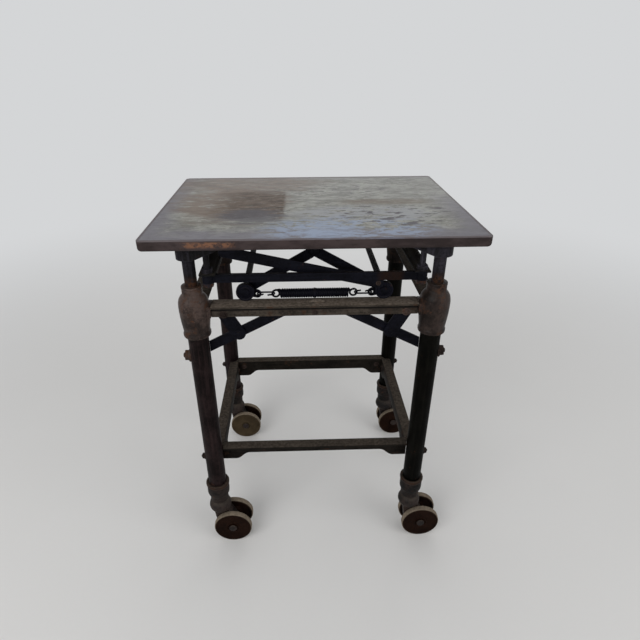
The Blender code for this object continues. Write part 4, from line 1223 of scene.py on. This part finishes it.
class TURTLE_OT_drive_bolts(bpy.types.Operator):
    """Set nuts on the legs and bolt heads on the rails, straps and stay"""

    bl_idname = "turtle.drive_bolts"
    bl_label = "Bolts and nuts"

    def execute(self, context):
        nut, head, lump = self.nut(), self.head(), self.lump()
        leg = span("leg_front_left").x / 2
        brace = low("front_brace_left").z - BRACE_NUT_DROP
        lower = high("lower_rail_front").z - LOWER_NUT_DROP
        for corner, (sx, sy) in CORNERS.items():
            out = axis_of(corner) + X * (sx * leg)
            self.place(nut, f"lower_nut_{corner}", out + Z * lower, X * sx, scale=0.78)
            if sy < 0:
                look = "bolt" if sx < 0 else "dull_bolt"
                spot = out + Z * brace
                self.place(nut, f"brace_nut_{corner}", spot, X * sx, scale=1.30, look=look)
        rail = "upper_rail_front"
        face = low(rail).y + sizes().flange_overhang
        round_end = sizes().strap_width / 2
        for side, sign in SIDES.items():
            strap = f"brace_strap_{side}"
            bottom, top, centre = low(strap), high(strap), middle(strap)
            out = sign * (span(strap).x / 2 - round_end)
            look = "bolt" if side == "right" else "dull_bolt"
            spot = (centre.x + out, face, top.z - round_end)
            self.place(head, f"rail_bolt_{side}", spot, -Y, look=look)
            spot = (centre.x - out, bottom.y, bottom.z + round_end)
            self.place(head, f"strap_bolt_{side}", spot, -Y, look="bar")
        spot = (0, face, high("brace_strap_left").z - MIDDLE_BOLT_DROP)
        self.place(head, "rail_bolt_middle", spot, -Y, scale=0.8)
        spot = (LUMP_PLACE[0], middle(rail).y + LUMP_PLACE[1], high(rail).z)
        self.place(lump, "rail_lump", spot, Z, look="upper_rail")
        for side in AROUND:
            self.lower_pair(head, side)
        stay = "diagonal_stay"
        foot = Vector((high(stay).x, low(stay).y, low(stay).z))
        foot += Vector((-1, 0, 1)) * sizes().stay_width / 2
        self.place(head, "stay_bolt", foot, -Y, scale=0.62, body="top")
        drop(nut, head, lump)
        return {"FINISHED"}

    def place(self, master, name, spot, direction, scale=1.0, body="frame", look="dull_bolt"):
        move = Matrix.Translation(spot) @ facing(direction) @ Matrix.Scale(scale, 4)
        settle(copy_of(master, name, move), body, look)

    def lower_pair(self, head, side):
        """Two bolt heads inside a lower rail, near its legs."""
        rail = f"lower_rail_{side}"
        level = high(rail).z - LOWER_BOLT_DROP
        along = X if side in ENDS else Y
        inward = {"front": Y, "back": -Y, "left": X, "right": -X}[side]
        across = max(inward.dot(low(rail)), inward.dot(high(rail)))
        reach = along.dot(span(rail)) / 2 - LOWER_BOLT_INSET
        for number, sign in enumerate((-1, 1)):
            spot = inward * across + along * (sign * reach) + Z * level
            self.place(head, f"lower_bolt_{side}_{number}", spot, inward, scale=0.9)

    def nut(self):
        """A six-sided nut on a round washer, with the bolt's end through it."""
        base = turned("nut", WASHER)
        six = rod("six", NUT_RADIUS, Z * NUT_FOOT, Z * NUT_TOP, 6)
        weld(base, soften(six, NUT_EDGE))
        return weld(base, turned("end", BOLT_END))

    def head(self):
        """A domed head on a thin washer."""
        return turned("head", BOLT_HEAD)

    def lump(self):
        """A low oval bolt plate."""
        plate = turned("lump", LUMP)
        plate.data.transform(Matrix.Diagonal((1, LUMP_DEPTH, 1, 1)))
        return plate


FLOOR_RADIUS, FLOOR_INSET = 9, 6
FLOOR_FADE = (0.9, 3.2)  # where the floor begins and ends to turn into the backdrop
SKY_STRENGTH = 0.50
# Place, size and power of the lamps, which aim at the table's middle
LAMPS = {
    "key": ((-1.7, -2.4, 2.0), 2.2, 44),
    "fill": ((2.2, -1.7, 1.6), 2.0, 20),
    "back": ((0.2, 2.6, 1.8), 2.6, 16),
}
LAMP_AIM = Vector((0, 0, 0.5))
# The photo's camera, solved from the corners of the top and the wheels' places on the floor
PHOTO_WIDTH, FOCAL_LENGTH, PHOTO_CENTRE = 640, 491.6, (311.2, 330.2)  # in pixels
SENSOR_WIDTH = 36  # in millimetres
PITCH, YAW, ROLL = math.radians(29.60), math.radians(1.69), math.radians(-0.24)
CAMERA_PLACE = (-0.0353, -1.1168, 1.1480)


class TURTLE_OT_set_stage(bpy.types.Operator):
    """Set the floor, the light and the camera"""

    bl_idname = "turtle.set_stage"
    bl_label = "Stage"

    def execute(self, context):
        deselect()
        bpy.ops.mesh.primitive_circle_add(vertices=96, radius=FLOOR_RADIUS, fill_type="NGON")
        bpy.ops.object.mode_set(mode="EDIT")
        bpy.ops.mesh.inset(thickness=FLOOR_INSET)
        bpy.ops.object.mode_set(mode="OBJECT")
        floor = named("studio_floor")
        floor.data.materials.append(self.floor())
        self.sky()
        for name, (place, size, power) in LAMPS.items():
            self.lamp(name, Vector(place), size, power)
        self.camera()
        bpy.context.scene.view_settings.view_transform = "Standard"
        return {"FINISHED"}

    def lamp(self, name, place, size, power):
        lamp = bpy.data.lights.new(name, "AREA")
        lamp.size = size
        lamp.energy = power
        light = bpy.data.objects.new(name, lamp)
        light.location = place
        light.rotation_euler = (LAMP_AIM - place).to_track_quat("-Z", "Y").to_euler()
        bpy.context.scene.collection.objects.link(light)

    def camera(self):
        camera = bpy.data.cameras.new("photo_view")
        camera.sensor_width = SENSOR_WIDTH
        camera.lens = SENSOR_WIDTH * FOCAL_LENGTH / PHOTO_WIDTH
        camera.shift_x = (PHOTO_WIDTH / 2 - PHOTO_CENTRE[0]) / PHOTO_WIDTH
        camera.shift_y = (PHOTO_CENTRE[1] - PHOTO_WIDTH / 2) / PHOTO_WIDTH
        level = math.cos(PITCH)
        ahead = Vector((math.sin(YAW) * level, math.cos(YAW) * level, -math.sin(PITCH)))
        right = Vector((math.cos(YAW), -math.sin(YAW), 0))
        up = right.cross(ahead)
        turned_right = right * math.cos(ROLL) + up * math.sin(ROLL)
        turned_up = up * math.cos(ROLL) - right * math.sin(ROLL)
        turn = Matrix((turned_right, turned_up, -ahead)).transposed().to_4x4()
        view = bpy.data.objects.new("photo_view", camera)
        view.matrix_world = Matrix.Translation(CAMERA_PLACE) @ turn
        bpy.context.scene.collection.objects.link(view)
        bpy.context.scene.camera = view

    def floor(self):
        """A pale floor that takes the shadow and runs into the backdrop far from the table."""
        f = Finish("studio_floor")
        cloud = f.noise(0.7, 4, 0.6)
        grain = f.noise(0.01, 5, 0.6)
        f.colour = f.mix(cloud * 0.5 + grain * 0.2, tone("floor"), tone("floor", 0.90))
        f.done(rough=0.85, metallic=0.0, gloss=0.5, height=grain, depth=0.0004, strength=0.2)
        away = (f.x * f.x + f.y * f.y) ** 0.5
        glow = f.node("ShaderNodeEmission", None, {"Color": (*tone("backdrop"), 1)})
        lit = Wire(f, f.shader.outputs[0])
        share = f.step(away, *FLOOR_FADE) * f.looking()
        blend = f.node("ShaderNodeMixShader", None, {0: share, 1: lit, 2: glow})
        f.feed(f.tree.nodes["Material Output"].inputs["Surface"], blend)
        return f.material

    def sky(self):
        """Soft even light, and the backdrop's colour for what looks straight at it."""
        world = bpy.data.worlds.new("studio")
        world.use_nodes = True
        bpy.context.scene.world = world
        sky = Tree(world.node_tree)
        sockets = {"Color": (*tone("light"), 1), "Strength": SKY_STRENGTH}
        light = sky.node("ShaderNodeBackground", None, sockets)
        seen = sky.node("ShaderNodeBackground", None, {"Color": (*tone("backdrop"), 1)})
        blend = sky.node("ShaderNodeMixShader", None, {0: sky.looking(), 1: light, 2: seen})
        sky.feed(sky.tree.nodes["World Output"].inputs["Surface"], blend)


class TURTLE_PT_panel(bpy.types.Panel):
    """Lists the table's pieces in the sidebar"""

    bl_label = "Turtle table"
    bl_idname = "TURTLE_PT_panel"
    bl_space_type = "VIEW_3D"
    bl_region_type = "UI"
    bl_category = "Turtle"

    def draw(self, context):
        for operator in OPERATORS:
            self.layout.operator(operator.bl_idname)
        for group in (sizes(), colours()):
            for name in group.__annotations__:
                self.layout.prop(group, name)


OPERATORS = (
    TURTLE_OT_lay_top,
    TURTLE_OT_dress_rails,
    TURTLE_OT_dress_bars,
    TURTLE_OT_raise_legs,
    TURTLE_OT_hang_brackets,
    TURTLE_OT_set_rollers,
    TURTLE_OT_wind_springs,
    TURTLE_OT_fit_casters,
    TURTLE_OT_drive_bolts,
    TURTLE_OT_set_stage,
)
CLASSES = (TurtleColours, TurtleSizes, *OPERATORS, TURTLE_PT_panel)


def register():
    for item in CLASSES:
        bpy.utils.register_class(item)
    bpy.types.Scene.turtle_colours = bpy.props.PointerProperty(type=TurtleColours)
    bpy.types.Scene.turtle_sizes = bpy.props.PointerProperty(type=TurtleSizes)


def unregister():
    del bpy.types.Scene.turtle_sizes
    del bpy.types.Scene.turtle_colours
    for item in reversed(CLASSES):
        bpy.utils.unregister_class(item)


def main():
    register()
    bpy.ops.turtle.lay_top()
    bpy.ops.turtle.dress_rails()
    bpy.ops.turtle.dress_bars()
    bpy.ops.turtle.raise_legs()
    bpy.ops.turtle.hang_brackets()
    bpy.ops.turtle.set_rollers()
    bpy.ops.turtle.wind_springs()
    bpy.ops.turtle.fit_casters()
    bpy.ops.turtle.drive_bolts()
    bpy.ops.turtle.set_stage()


if __name__ == "__main__":
    main()
